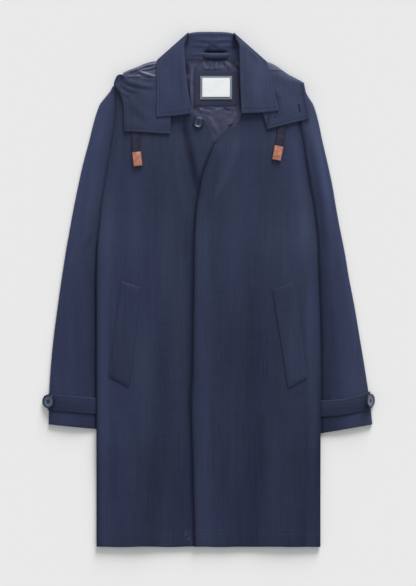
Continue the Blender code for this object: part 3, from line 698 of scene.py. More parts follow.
def panelSection(side, y, start, fold, height, columns):
    sign = signOf[side]
    axisX = bodyAt[side](y) - wall / 2 - frontFold
    line = [Vector((sign * x, y, height(sign * x, y))) for x in between(start, axisX, columns)]
    top = line[-1].z
    turn = math.radians(bodyAt["turn"](y))
    tail = bodyAt["tail"](y)
    low = wall / 2 + coat["clear"]
    for angle in between(0, turn, 7)[1:]:
        x = axisX + fold * math.sin(angle)
        line.append(Vector((sign * x, y, max(top - fold * (1 - math.cos(angle)), low))))
    end = line[-1]
    for reach in between(0, tail, 6)[1:]:
        x = abs(end.x) + reach * math.cos(turn)
        line.append(Vector((sign * x, y, max(end.z - reach * math.sin(turn), low))))
    return line


def bodyYs():
    low = between(coat["hemY"], 0.28, 150)
    return low + between(0.28, coat["shoulderY"], 54)[1:]


def buildBack():
    rows = []
    for y in bodyYs()[::2]:
        left = panelSection("left", y, 0, coat["backFold"], backMiddle, 26)
        right = panelSection("right", y, 0, coat["backFold"], backMiddle, 26)
        rows.append(left[::-1] + right[1:])
    waveHem(rows, 2.0)
    uvs = arcUvs(rows, [0] * len(rows), (3.1, 0))
    piece = clothGrid("backPanel", rows, wall, shell, uvs, hemMarks(rows))
    joinSlivers(piece)
    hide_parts("back")


def buildFronts():
    for side, node in (("left", "front_left"), ("right", "front_right")):
        sign = signOf[side]
        height = frontMiddle if side == "left" else flyMiddle
        rows, edgeGap, starts = [], [], []
        for y in bodyYs():
            start = frontEdge[side](y)
            row = panelSection(side, y, sign * start, frontFold, height, 46)
            starts.append(start * sign)
            slope = (frontEdge[side](y + 0.002) - frontEdge[side](y - 0.002)) / 0.004
            lean = 1 / math.hypot(1, slope)
            edgeGap.append([((sign * p.x - sign * start) * lean - 0.006, y) for p in row])
            rows.append(row)
        hem = hemMarks(rows)
        tone = [[frontPaintedLight(side, p.x, p.y) for p in row] for row in rows]
        waveHem(rows, 5.0 if side == "left" else 7.0)
        uvs = arcUvs(rows, starts, (1.3 if side == "left" else 2.2, 0.4))
        if side == "left":
            rows, uvs, tone, hem, edgeGap = map(flipped, (rows, uvs, tone, hem, edgeGap))
        piece = clothGrid(side + "Front", rows, wall, shell, uvs, hem, edgeGap, tone)
        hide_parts(node)


# lighter higher up and beside the folds, painted shade along the side folds and the fly's edge
def frontPaintedLight(side, x, y):               # painted light and shade on the fronts
    tone = paintedShading(x, y, bodyPaintedShade) + 0.1 * ease((y + 0.2) / 0.4)
    fromFold = bodyAt[side](y) - abs(x)
    high = ease((y - 0.08) / 0.1)
    fromFly = x - frontEdge["right"](y)
    tone += 0.1 * hump(fromFold - 0.018, 0.016)
    if side == "left":
        tone -= blend(0.4, 0.1, high) * hump(fromFold, 0.005)
        tone -= 0.55 * hump(fromFly - 0.001, 0.009) + 0.08 * ease((-0.25 - y) / 0.15)
    else:
        tone -= 0.35 * hump(fromFold, 0.005) + 0.18 * hump(fromFold, 0.01) * high
        tone -= 0.45 * hump(fromFly, 0.0022)
        tone += 0.12 * hump(x + 0.012, 0.03) * ease((0.2 - y) / 0.1)
        tone -= 0.1 * ease((x - 0.01) / 0.03) * ease((0.1 - y) / 0.2)
    return tone


# sleeves

sleeveRow = namedtuple("sleeveRow", "y outLeft outRight tuck closed")
sleeve = [
    sleeveRow(0.397, 0.1875, 0.1868, 0, 0), sleeveRow(0.387, 0.1925, 0.1888, 0, 0),
    sleeveRow(0.376, 0.2015, 0.1945, 0, 0), sleeveRow(0.36, 0.2135, 0.2045, 0, 0),
    sleeveRow(0.33, 0.2235, 0.2135, 0, 0), sleeveRow(0.29, 0.2335, 0.222, 0, 0),
    sleeveRow(0.245, 0.2455, 0.2325, 0, 0), sleeveRow(0.2, 0.2555, 0.242, 0, 0),
    sleeveRow(0.155, 0.2645, 0.2495, 0, 0), sleeveRow(0.125, 0.27, 0.255, 0, 0),
    sleeveRow(0.1, 0.2745, 0.26, 0, 0), sleeveRow(0.078, 0.2785, 0.2645, 0, 0),
    sleeveRow(0.055, 0.282, 0.2685, 0.001, 0.5), sleeveRow(0.03, 0.286, 0.2725, 0.008, 1),
    sleeveRow(-0.03, 0.2945, 0.284, 0.018, 1), sleeveRow(-0.095, 0.303, 0.295, 0.028, 1),
    sleeveRow(-0.165, 0.3095, 0.3065, 0.04, 1), sleeveRow(-0.215, 0.312, 0.314, 0.048, 1),
    sleeveRow(-0.2636, 0.3127, 0.3196, 0.055, 1),
]
sleeveAt = {name: smoothLine([(row.y, getattr(row, name)) for row in sleeve])
            for name in sleeveRow._fields[1:]}
sleeveEnds = {"hemY": -0.2636, "topY": 0.397, "hemDepth": 0.027, "rows": 118, "crown": 0.0026}
cuffSlant = {"left": 0.1, "right": 0.175}
sleeveCreases = {
    "left": folds(
        (-205, 350, -245, 40, 6, 12, 1.4),
        (-230, 300, -270, -50, 4, 13, -0.9),
        (-245, 20, -255, -200, -3, 14, 0.9),
        (-225, 120, -275, 30, 3, 10, 0.7)),
    "right": folds(
        (198, 330, 235, 60, -6, 12, 1.4),
        (210, 360, 250, 100, -3, 10, -0.9),
        (250, 120, 285, -150, -4, 16, 1.2),
        (235, -20, 250, -230, 3, 14, -0.8)),
}


def armholeEnd(side, y):                 # where the front's and the back's edges end
    turn = math.radians(bodyAt["turn"](y))
    axisX = bodyAt[side](y) - wall / 2 - frontFold
    reach = math.sin(min(turn, math.pi / 2))
    tail = bodyAt["tail"](y) * max(math.cos(turn), 0)
    flat = backMiddle(signOf[side] * axisX, y) + coat["layer"]
    height = flat - frontFold * (1 - math.cos(turn))
    return axisX + frontFold * reach + tail, height, axisX + coat["backFold"] * reach + tail


def sleeveSection(side, y):              # from the seam over the upper side and back under
    sign = signOf[side]
    outX = sleeveAt["outLeft"](y) if side == "left" else sleeveAt["outRight"](y) + 0.001
    tuck, closed = sleeveAt["tuck"](y), sleeveAt["closed"](y)
    seamX, seamZ, backX = armholeEnd(side, y)

    def floor(x):
        return wall / 2 + hoodUnder(sign * x, y)

    startX = seamX + wall / 2 + coat["seam"]
    innerX = bodyAt[side](y) - tuck
    seamZ = max(seamZ, floor(startX) + 2 * innerFold)
    hiddenZ = floor(innerX) + 2 * innerFold
    seamZ = blend(seamZ, hiddenZ, clamp((0.155 - y) / 0.075))
    line = []
    for step in range(5):
        angle = math.pi * step / 4
        shutX = innerX + innerFold * (1 - math.sin(angle))
        shutZ = floor(innerX) + innerFold * (1 - math.cos(angle))
        line.append((blend(startX + 0.0003 * step, shutX, closed), blend(seamZ, shutZ, closed)))
    outerX = outX - wall / 2 - sleeveFold
    firstX, firstZ = line[-1]
    foldTop = floor(outerX) + 2 * sleeveFold
    clearX = blend(firstX, innerX + tuck + 0.0015, closed)
    if closed <= 0.5:
        clearX += 0.0009
    line += [(x, firstZ) for x in between(firstX, clearX, 3)[1:]]
    room = clamp((outerX - clearX) / 0.05)
    for share in between(0, 1, 24)[1:]:
        x = blend(clearX, outerX, share)
        crown = sleeveEnds["crown"] * math.sin(math.pi * share) ** 0.8 * room
        off = creased(sign * x, y, sleeveCreases[side]) + uneven(x, y * 0.5, 0.03, 0.0007, 3.0)
        edge = ease(share / 0.18) * ease((1 - share) / 0.12)
        line.append((x, blend(firstZ, foldTop, ease(share)) + crown + off * edge))
    for angle in between(0, math.pi, 8)[1:]:
        line.append((outerX + sleeveFold * math.sin(angle),
                     floor(outerX) + sleeveFold * (1 + math.cos(angle))))
    endX = blend(backX, innerX + innerFold, closed) + wall / 2 + coat["seam"]
    line += [(x, floor(x)) for x in between(outerX, endX, 10)[1:]]
    drop = cuffSlant[side] * clamp((-0.095 - y) / 0.12)
    return [Vector((sign * x, y - drop * (outX - x), z)) for x, z in line]


upperPoints = 40                         # points of a section before it turns under


def buildSleeves():
    for side, node in (("left", "sleeve_left"), ("right", "sleeve_right")):
        ys = between(sleeveEnds["hemY"], sleeveEnds["topY"], sleeveEnds["rows"])
        rows = [sleeveSection(side, y) for y in ys]
        outs = [sleeveAt["out" + side.capitalize()](y) for y in ys]
        hemLine = sleeveEnds["hemY"] + sleeveEnds["hemDepth"]
        hem = [[(y - hemLine, p.x) for p in row] for y, row in zip(ys, rows)]
        uvs = arcUvs(rows, [-out for out in outs], (5.1 if side == "left" else 6.4, 0.2))
        tone = [[sleevePaintedLight(side, abs(p.x), out, y, i < upperPoints) for i, p in enumerate(row)]
                for y, out, row in zip(ys, outs, rows)]
        if side == "left":
            rows, uvs, hem, tone = map(flipped, (rows, uvs, hem, tone))
        piece = clothGrid(side + "Sleeve", rows, wall, shell, uvs, hem, None, tone)
        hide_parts(node)


# painted light and shade on the sleeves: lighter higher up and towards the outer fold, painted
# shade along the armhole seam
def sleevePaintedLight(side, x, out, y, above):  # above is the side that shows
    edge = bodyAt[side](y)
    share = clamp((x - edge) / max(out - edge, 0.01))
    high = ease((y + 0.05) / 0.35)
    if not above:
        return 0.1
    if side == "left":
        seam = blend(0.5, 0.12, high) * hump(x - edge, 0.006)
        return blend(-0.1, 0.14, ease(share / 0.6)) + 0.34 * high - seam
    return blend(-0.26, 0.22, ease(share / 0.7)) + 0.38 * high - 0.5 * hump(x - edge, 0.007)


strap = namedtuple("strap", "side topOut topIn lift")
straps = [strap("left", -0.204, -0.2115, 0), strap("right", -0.199, -0.2165, 0.006)]
strapLook = {"wide": 0.032, "fromX": 0.2193, "edgeX": 0.219, "slack": 0.0001,
             "puff": 0.0006, "stitch": 0.0058,
             "points": slice(8, 37)}     # the upper side of a sleeve's section


def outline(line, distance):             # points of a section moved square to it, outwards
    moved = []
    for i, point in enumerate(line):
        before, after = line[max(i - 1, 0)], line[min(i + 1, len(line) - 1)]
        run = Vector((after.x - before.x, 0, after.z - before.z)).normalized()
        out = Vector((-run.z, 0, run.x)) * (-1 if point.x < 0 else 1)
        moved.append(point + out * distance)
    return moved


def buildStraps():
    for item in straps:
        rows = []
        for share in between(0, 1, 8):
            yOut = item.topOut - strapLook["wide"] * (1 - share)
            yIn = item.topIn - strapLook["wide"] * (1 - share)
            section = sleeveSection(item.side, (yOut + yIn) / 2)[strapLook["points"]]
            line = [p for p in section if abs(p.x) > 0.22]
            puff = strapLook["slack"] + strapLook["puff"] * math.sin(math.pi * share)
            moved = outline(line, wall + coat["seam"] + puff)
            moved[0].x = math.copysign(strapLook["fromX"], moved[0].x)
            outX = max(abs(p.x) for p in moved)
            row = []
            for p in moved:
                p.z = max(p.z, wall / 2 + coat["clear"])
                reach = (abs(p.x) - strapLook["edgeX"]) / (outX - strapLook["edgeX"])
                bow = item.lift * math.sin(math.pi * clamp(reach)) * 0.8
                row.append(Vector((p.x, blend(yIn, yOut, reach) - bow, p.z)))
            rows.append(row)
        count = min(len(row) for row in rows)
        rows = [row[-count:] for row in rows]
        edge = [[(min(j, 8 - j) / 8 * strapLook["wide"] - strapLook["stitch"], p.x) for p in row]
                for j, row in enumerate(rows)]
        uvs = [[(p.y + 7, p.x) for p in row] for row in rows]
        if item.side == "left":
            rows, uvs, edge = map(flipped, (rows, uvs, edge))
        piece = clothGrid(item.side + "CuffStrap", rows, wall, shell, uvs, edge)
        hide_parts("cuff_strap_" + item.side)


# pockets

weltLook = {"wall": 0.001, "lift": 0.001, "puff": 0.0008, "stitch": 0.0045}
welts = {                                # corners: low left, low right, top right, top left
    "left": [(-0.1948, -0.1693), (-0.155, -0.1903), (-0.1316, 0.0041), (-0.1708, 0.0168)],
    "right": [(0.1554, -0.1925), (0.1925, -0.1724), (0.1671, 0.0158), (0.1248, -0.0012)],
}


def buildPockets():
    for side, corners in welts.items():
        lowLeft, lowRight, topRight, topLeft = (Vector(corner) for corner in corners)
        rows, stitch = [], []
        wide, tall = (lowRight - lowLeft).length, (topLeft - lowLeft).length
        for v in between(0, 1, 44):
            row, marks = [], []
            for u in between(0, 1, 12):
                p = lowLeft.lerp(lowRight, u).lerp(topLeft.lerp(topRight, u), v)
                gap = min(u, 1 - u) * wide
                end = min(v, 1 - v) * tall
                puff = weltLook["puff"] * ease(gap / 0.009) * ease(end / 0.006)
                row.append(Vector((p.x, p.y, coatTop(p.x, p.y) + weltLook["lift"] + puff)))
                marks.append((end - weltLook["stitch"], u * wide))
            rows.append(row)
            stitch.append(marks)
        uvs = [[(p.x + 8, p.y) for p in row] for row in rows]
        piece = clothGrid(side + "PocketWelt", rows, weltLook["wall"], shell, uvs, stitch)
        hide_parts("pocket_welt_" + side)


# neck: lining, label, stand, collar and hanger loop

neckReach = {
    "left": smoothLine([(0.262, -0.006), (0.29, -0.016), (0.318, -0.03), (0.345, -0.05),
                        (0.385, -0.06), (0.415, -0.0635), (0.432, -0.06), (0.4425, -0.052)]),
    "right": smoothLine([(0.262, 0.03), (0.29, 0.042), (0.318, 0.066), (0.345, 0.08),
                         (0.385, 0.088), (0.415, 0.087), (0.432, 0.0815), (0.4425, 0.0705)]),
}
trimWall = 0.001
neck = {"lowY": 0.262, "topY": 0.4425, "gather": 0.0007, "gatherY": 0.412, "turnUp": 0.0028}
neckCreases = folds(
    (-30.6, 443, -33, 354, 2, 4, 1.8),
    (-25, 440, -25.5, 356, 1, 3, -0.8),
    (-48, 430, -44, 370, -2, 5, -1),
    (54.5, 435, 56, 356, 2, 4.5, 1.6),
    (-12, 442, 0, 427, 1, 3.4, 1.4),
    (18, 442, 13, 428, 1, 3.4, 1.4),
    (30, 443, 44, 426, -2, 4, 1.8),
    (-28, 356, 8, 350, -3, 3.6, -1.2),
    (-22, 350, 12, 340, -3, 4.5, 0.9),
    (8, 344, 33, 353, -3, 4.5, 1.3),
    (27, 354, 46, 348, 1, 3.4, -1.2),
    (28, 304, 56, 350, 2, 5, 1.2),
    (-7.8, 342, 18, 296, 1, 4.5, -1.2),
    (1, 343, 23, 302, 2, 4, 1),
    (-18, 433, 45, 435, 3, 4, 1.2),
)
# painted shade in the lining's folds, hollows and corners, painted highlights on its ridges
neckPaintedShade = paintedStrokes(
    (-45, 449, -40, 415, 0, 8.5, -1.4),
    (-30.6, 443, -33, 354, 2, 3.5, 0.6),
    (-25, 443, -25.8, 356, 1, 2.6, -0.9),
    (-42, 420, -37, 348, 0, 6, -0.9),
    (39, 449, 62, 426, -2, 4.5, -1.3),
    (61, 440, 62, 342, 0, 5.2, -1.3),
    (54, 425, 55, 360, 0, 3.4, 0.4),
    (-60, 445, 80, 445, 0, 3.4, -1),
    (-13, 444, -2, 429, 1, 3, 0.6),
    (3, 444, 5, 432, 0, 2.2, -0.9),
    (30, 444, 33, 433, 0, 2.4, -1),
    (18, 442, 13, 430, 1, 3, 0.4),
    (-14, 354.5, 8, 350.5, 0, 2.6, -1.3),
    (-31, 356.5, -15, 350, 0, 2.8, -1),
    (8, 344, 32, 351, -2, 4.6, 0.6),
    (27, 354, 46, 349, 0, 2.6, -1.3),
    (-7.8, 342, 18, 296, 1, 3.2, -0.7),
    (1, 343, 23, 300, 2, 4, 0.35),
    (29, 306, 56, 350, 2, 5, 0.35),
    (36, 319, 48, 322.6, 0, 2.6, -1.9),
)


def liningMiddle(x, y):
    return backMiddle(x, y) + wall / 2 + coat["seam"] + trimWall / 2


def underLabel(x, y):                    # 1 where the label's patch holds the lining flat
    patch = labels[0]
    return ease(1.25 - max(2 * abs(x - patch.x) / patch.wide, 2 * abs(y - patch.y) / patch.tall))


def buildNeckLining():
    rows = []
    for y in between(neck["lowY"], neck["topY"], 90):
        row = []
        for x in between(neckReach["left"](y), neckReach["right"](y), 56):
            shown = ease((x - frontEdge["left"](y)) / 0.012)
            shown *= ease((frontEdge["right"](y) - x) / 0.012) * ease((neck["topY"] - y) / 0.004)
            gathers = neck["gather"] * math.sin(x * 620 + 4 * noise.noise(Vector((x * 60, 0, 7))))
            waves = creased(x, y, neckCreases) + uneven(x, y, 0.01, 0.001, 6.0)
            waves += gathers * ease((y - neck["gatherY"]) / 0.02)
            rise = max(waves, -0.0003) * shown * (1 - clamp(underLabel(x, y) * 4))
            row.append(Vector((x, y + neck["turnUp"] * ease((y - 0.43) / 0.0125),
                               liningMiddle(x, y) + rise)))
        rows.append(row)
    tone = [[paintedShading(p.x, p.y, neckPaintedShade) for p in row] for row in rows]
    piece = clothGrid("neckLining", rows, trimWall, lining, layFlat(rows), tone=tone)
    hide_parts("neck_lining")


label = namedtuple("label", "name node slot x y wide tall dark light rough pitch")
labels = [                               # each lies on the one before
    label("labelPatch", "label_patch", "patch", 0.0138, 0.3926, 0.084, 0.067,
          rgb(0.012, 0.0175, 0.05), rgb(0.034, 0.043, 0.102), 0.65, 0.0009),
    label("labelBorder", "label_border", "border", 0.0148, 0.3936, 0.062, 0.0455,
          rgb(0.165, 0.197, 0.222), rgb(0.322, 0.368, 0.402), 0.7, 0.0007),
    label("labelBlank", "label_blank", "label", 0.0148, 0.394, 0.054, 0.037,
          rgb(0.93, 0.98, 1.0), rgb(0.985, 0.995, 1.0), 0.55, 0.0006),
]
labelStitch = 0.0022


def buildLabels():
    for level, item in enumerate(labels, start=1):
        rows, stitch = [], []
        for v in between(-0.5, 0.5, 20):
            row, marks = [], []
            for u in between(-0.5, 0.5, 26):
                x, y = item.x + u * item.wide, item.y + v * item.tall
                edge = min((0.5 - abs(u)) * item.wide, (0.5 - abs(v)) * item.tall)
                rise = level * (trimWall + coat["seam"]) + uneven(x, y, 0.03, 0.0004, 2.0)
                row.append(Vector((x, y, liningMiddle(x, y) + rise)))
                marks.append((edge - labelStitch, x + y))
            rows.append(row)
            stitch.append(marks)
        finish = wovenFinish(item.name + "Cloth", item.dark, item.light, item.rough, item.pitch)
        piece = clothGrid(item.name, rows, trimWall, finish, layFlat(rows), stitch)
        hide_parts(item.node)


rib = namedtuple("rib", "seamX seamY rollX rollY seam roll end reach bulge")
stand = [
    rib(-0.0368, 0.348, -0.034, 0.35, 0.0106, 0.014, 0.0162, 0, 0),
    rib(-0.0525, 0.375, -0.045, 0.378, 0.0106, 0.014, 0.0162, 0, 0),
    rib(-0.059, 0.404, -0.049, 0.408, 0.0106, 0.014, 0.0162, 0, 0),
    rib(-0.064, 0.432, -0.051, 0.44, 0.0106, 0.0132, 0.015, 0, 0),
    rib(-0.06, 0.445, -0.049, 0.48, 0.0086, 0.0105, 0.0122, 0, 0.0003),
    rib(-0.04, 0.445, -0.036, 0.4984, 0.0073, 0.0075, 0.0042, 0.0021, 0.0013),
    rib(-0.012, 0.445, -0.011, 0.5006, 0.0073, 0.0075, 0.0042, 0.0021, 0.0013),
    rib(0.022, 0.445, 0.022, 0.5004, 0.0073, 0.0075, 0.0042, 0.0021, 0.0013),
    rib(0.054, 0.445, 0.047, 0.4978, 0.0073, 0.0075, 0.0042, 0.0021, 0.0013),
    rib(0.078, 0.445, 0.062, 0.482, 0.0086, 0.0105, 0.0122, 0, 0.0003),
    rib(0.084, 0.432, 0.065, 0.44, 0.0106, 0.0132, 0.015, 0, 0),
    rib(0.0825, 0.404, 0.065, 0.408, 0.0106, 0.014, 0.0162, 0, 0),
    rib(0.0785, 0.375, 0.0655, 0.378, 0.0106, 0.014, 0.0162, 0, 0),
    rib(0.069, 0.348, 0.0665, 0.35, 0.0106, 0.014, 0.0162, 0, 0),
]
standCreases = folds(
    (-30, 488, 50, 489, 2, 4.5, 0.9),
    (-35, 476, 5, 474, -1, 4, 0.8),
    (22, 477, 60, 476, 1, 4, 0.8),
    (-42, 459, 56, 456, -1, 4, 0.9),
    (0, 468, 7, 485, 1, 4, 1.6),       # the loop lifts a small tent
    (6, 485, 29, 467, 1, 4.5, 1.5),
    (-14, 463.5, 44, 463.5, 0, 3.6, -3.6),     # and shadows the slot above it
)
# painted shade over the slot above the loop, at the stand's corners and along the neck seam; a
# little painted highlight near the top
standPaintedShade = paintedStrokes(
    (-14, 465.2, 42, 465.2, 1, 4.6, -1.05),
    (-4, 466, 7, 484, 0, 4.5, -0.45),
    (32, 466, 8, 484, 0, 4, -0.35),
    (6, 466, 10, 480, 0, 6, -0.25),
    (-44, 470, -44, 505, 0, 10, -0.5),
    (52, 465, 52, 505, 0, 10, -0.5),
    (-55, 448, 70, 448, 0, 6, -0.4),
    (10, 492, 50, 490, 2, 5, 0.25),
    (-35, 480, 0, 478, 1, 4, -0.2),
)
standTall = 22                           # steps from the neck seam up to the roll


def buildStand():
    at = {name: smoothLine([(i, getattr(item, name)) for i, item in enumerate(stand)])
          for name in rib._fields}
    rows = []
    for i in between(0, len(stand) - 1, 104):
        seam = Vector((at["seamX"](i), at["seamY"](i), at["seam"](i)))
        roll = Vector((at["rollX"](i), at["rollY"](i), at["roll"](i)))
        end = Vector((roll.x, roll.y + at["reach"](i), at["end"](i)))
        over = roll.lerp(end, 0.5) + (roll - seam).normalized() * at["bulge"](i)
        row = [seam.lerp(roll, share) for share in between(0, 1, standTall)]
        row += [roll.lerp(over, 0.5), over, over.lerp(end, 0.5), end]
        for j, point in enumerate(row):
            flat = ease(j / 4) * ease((standTall - j) / 4)
            lift = creased(point.x, point.y, standCreases)
            lift += uneven(point.x, point.y * 3, 0.03, 0.0005, 1.0)
            point.z += lift * flat * ease(min(i - 3, 10 - i) / 1.5)
        rows.append(row)
    edge = [[(j / standTall * 0.054 - 0.05, p.x) for j, p in enumerate(row)] for row in rows]
    # the stand is painted lighter than the body: painted light on the upper pieces
    tone = [[0.28 + paintedShading(p.x, p.y, standPaintedShade) for p in row] for row in rows]
    piece = clothGrid("collarStand", rows, wall, shell, layFlat(rows, (11, 0)), edge, tone=tone,
                      even=False)
    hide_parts("collar_stand")


leaf = namedtuple("leaf", "side roll lowIn lowOut shoulder top")
leaves = [
    leaf("left", [(0.3425, -0.0335), (0.415, -0.0445), (0.472, -0.048), (0.499, -0.0402)],
         (-0.0335, 0.3425), (-0.101, 0.3365), (-0.1002, 0.446), (-0.0402, 0.499)),
    leaf("right", [(0.343, 0.065), (0.415, 0.062), (0.472, 0.0605), (0.4985, 0.0502)],
         (0.065, 0.343), (0.1368, 0.3485), (0.114, 0.4425), (0.0502, 0.4985)),
]
collar = {"wall": 0.002, "roll": 0.0217, "lowIn": 0.0195, "out": 0.0182, "fold": 0.016,
          "top": 0.018, "under": 0.0016, "turn": 0.0013, "bulge": 0.0004, "stitch": 0.0055,
          "behind": 0.002}
# painted highlights along the leaves' outer folds, painted shade towards the roll
collarPaintedShade = paintedStrokes(
    (56, 489, 108, 442, 0, 4.5, 0.28),
    (64, 478, 102, 440, 0, 6, -0.16),
    (93, 440, 102, 346, 3, 14, 0.12),
    (69, 490, 72, 340, 0, 6, -0.14),
    (-47, 488, -96, 443, 0, 4, 0.18),
    (-56, 470, -48, 340, 2, 8, -0.16),
    (-82, 440, -70, 340, 3, 14, 0.1),
)


def leafRow(item, v):                    # across a leaf, from its turned roll to its edge
    sign = signOf[item.side]
    rollAt = smoothLine(item.roll)
    y = blend(item.lowIn[1], item.top[1], v)
    crest = math.sin(math.pi * v)
    rollZ = blend(collar["lowIn"], collar["top"], v) + (collar["roll"] - collar["lowIn"]) * crest
    inner = Vector((rollAt(y), y, rollZ))
    outer = Vector((*Vector(item.lowOut).lerp(Vector(item.shoulder), v),
                    blend(collar["out"], collar["fold"], v)))
    row, marks = [], []
    fade = ease((v - 0.8) / 0.18)
    turn = collar["turn"]
    out = (outer - inner).normalized()
    for step in range(6, 0, -1):
        angle = math.pi * step / 6
        turned = Vector((inner.x + sign * turn * (1 - math.sin(angle)), inner.y,
                         inner.z - turn * (1 - math.cos(angle))))
        flat = inner - out * 0.0004 * (step - 3)
        row.append(turned.lerp(flat, fade))
        marks.append((cloth["unstitched"][0], y))
    start = Vector((inner.x + sign * turn, inner.y, inner.z)).lerp(inner + out * turn, fade)
    length = (outer - start).length
    up = (Vector(item.shoulder) - Vector(item.lowOut)).length * v
    for u in between(0, 1, 24):
        place = start.lerp(outer, u)
        arch, inside = math.sin(math.pi * u), ease(u / 0.2) * ease((1 - u) / 0.2)
        place.z += 0.0011 * arch * crest - 0.001 * (1 - v) ** 6
        place.z += uneven(place.x, place.y, 0.04, 0.0009, 11.0) * inside
        place.y -= 0.0012 * arch * (1 - v)
        row.append(place)
        side = (1 - u) * length
        marks.append((min(side, up) - collar["stitch"], place.y if side < up else place.x))
    return row, marks


def buildCollar():
    halves, marked = {}, {}
    for item in leaves:
        rows, marks = [], []
        for v in between(0, 1, 40):
            row, lines = leafRow(item, v)
            rows.append(row)
            marks.append(lines)
        away = Vector((0.6 * signOf[item.side], 0.8, 0)) * collar["bulge"]
        edge = rows[-1]
        reach = (edge[-1] - edge[0]).length
        for down in between(0, 1, 10)[1:]:
            row = []
            for p in edge:
                share = clamp((p - edge[0]).length / reach)
                out = math.sin(math.pi * down) ** 0.8 * math.sin(math.pi * share) ** 0.5
                row.append(p.lerp(Vector((p.x, p.y, collar["under"])), down) + away * out)
            rows.append(row)
            marks.append([cloth["unstitched"]] * len(edge))
        halves[item.side], marked[item.side] = rows, marks
    left, right = halves["left"], halves["right"]
    behind = []
    for share in between(0, 1, 16)[1:-1]:                  # the plate behind bows out a little
        bow = Vector((0, collar["behind"] * math.sin(math.pi * share) ** 0.7, 0))
        behind.append([a.lerp(b, share) + bow for a, b in zip(left[-1], right[-1])])
    rows = left + behind + right[::-1]
    # the leaves are painted lighter than the body: painted light on the upper pieces
    tone = [[0.44 + paintedShading(p.x, p.y, collarPaintedShade) for p in row] for row in rows]
    plain = [[cloth["unstitched"]] * len(left[0])] * len(behind)
    marks = marked["left"] + plain + marked["right"][::-1]
    piece = clothGrid("collarLeaves", rows, collar["wall"], shell, layFlat(rows, (12, 0)), marks,
                      tone=tone)
    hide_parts("collar")


loop = {"x": 0.014, "y": 0.4566, "half": 0.024, "wide": 0.008, "arch": 0.002,
        "base": 0.00955, "sag": 0.0016, "roll": 0.0006, "stitch": 0.0014}


def buildHangerLoop():
    rows, edge = [], []
    for v in between(-0.5, 0.5, 6):
        row = []
        for share in between(0, 1, 26):
            lift = math.sin(math.pi * share)
            x = loop["x"] + blend(-loop["half"], loop["half"], share)
            height = loop["base"] + loop["arch"] * lift ** 0.7 - loop["roll"] * (2 * v) ** 2
            row.append(Vector((x, loop["y"] + v * loop["wide"] - loop["sag"] * lift, height)))
        rows.append(row)
        edge.append([((0.5 - abs(v)) * loop["wide"] - loop["stitch"], p.x) for p in row])
    # painted a little lighter than the body: painted light on the upper pieces
    piece = clothGrid("hangerLoop", rows, trimWall, shell, layFlat(rows, (14, 0)), edge,
                      tone=0.15)
    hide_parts("hanger_loop")


# hood: the part under the coat, its turned-out edge bands and the lining that shows

hoodReach = {
    "left": smoothLine([(0.165, -0.06), (0.19, -0.11), (0.235, -0.145), (0.29, -0.162),
                        (0.345, -0.172), (0.38, -0.18), (0.404, -0.1855), (0.418, -0.174),
                        (0.43, -0.147), (0.4395, -0.124)]),
    "right": smoothLine([(0.165, 0.06), (0.19, 0.11), (0.235, 0.145), (0.29, 0.162),
                         (0.345, 0.172), (0.38, 0.181), (0.404, 0.1862), (0.418, 0.1585),
                         (0.43, 0.138), (0.4395, 0.122)]),
}
hoodCreases = folds(
    (-90, 230, -110, 390, 6, 10, 1.1),
    (85, 220, 115, 380, -6, 10, 1),
    (-30, 210, -20, 370, 4, 12, 0.9),
    (35, 230, 20, 400, 3, 11, 1),
    (-120, 280, 120, 300, 10, 14, 0.8),
)


hood = {"lowY": 0.165, "topY": 0.4395, "thick": 0.0055, "least": 0.0006, "clear": 0.0001}


def buildHood():
    rings, uvs = [], []
    for y in between(hood["lowY"], hood["topY"], 56):
        left, right = hoodReach["left"](y), hoodReach["right"](y)
        end = ease((y - 0.16) / 0.012) * ease((0.444 - y) / 0.01)
        upper, lower = [], []
        for share in between(0, 1, 40):
            x = blend(left, right, share)
            rim = ease(min(share, 1 - share) / 0.035) * end
            top = hood["thick"] * max(hoodAcross(abs(x)) * hoodDown(y), 0.3)
            under = hood["clear"] + max(creased(x, y, hoodCreases), 0) * rim
            upper.append(Vector((x, y, blend(0.0009, top, rim))))
            lower.append(Vector((x, y, blend(0.0005, min(under, top - hood["least"]), rim))))
        rings.append(upper + lower[::-1][1:-1])
        uvs.append([(p.x + 15, p.y) for p in rings[-1]])
    piece = closedSkin("hoodUnderCoat", rings, shell, uvs)
    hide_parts("hood")


tapeWide = 0.0165
bandRise = 0.0038
bandReach = {                            # y, then x at the outer and the inner edge on the left
    "left": [(0.306, -0.164, -0.074), (0.33, -0.165, -0.0735), (0.358, -0.166, -0.0738),
             (0.377, -0.1706, -0.0742), (0.393, -0.179, -0.075), (0.404, -0.1838, -0.076),
             (0.412, -0.1795, -0.077)],
    "right": [(0.323, 0.1149, 0.1985), (0.342, 0.109, 0.196), (0.366, 0.101, 0.1918),
              (0.39, 0.098, 0.1882), (0.402, 0.097, 0.1862)],
}
bandSlant = {"left": (0.06, 0.12), "right": (0.26, 0.155)}
bandCreases = {
    "left": folds(
        (-170, 411, -100, 395, 4, 6.5, 1.3),
        (-176, 403, -133, 386, 3, 6, 1),
        (-178, 396, -152, 376, 2, 5.5, 0.8),
        (-150, 370, -110, 330, 4, 12, 0.6)),
    "right": folds(
        (115, 418, 145, 370, 4, 10, 0.8),
        (185, 390, 178, 340, 2, 10, -0.6)),
}
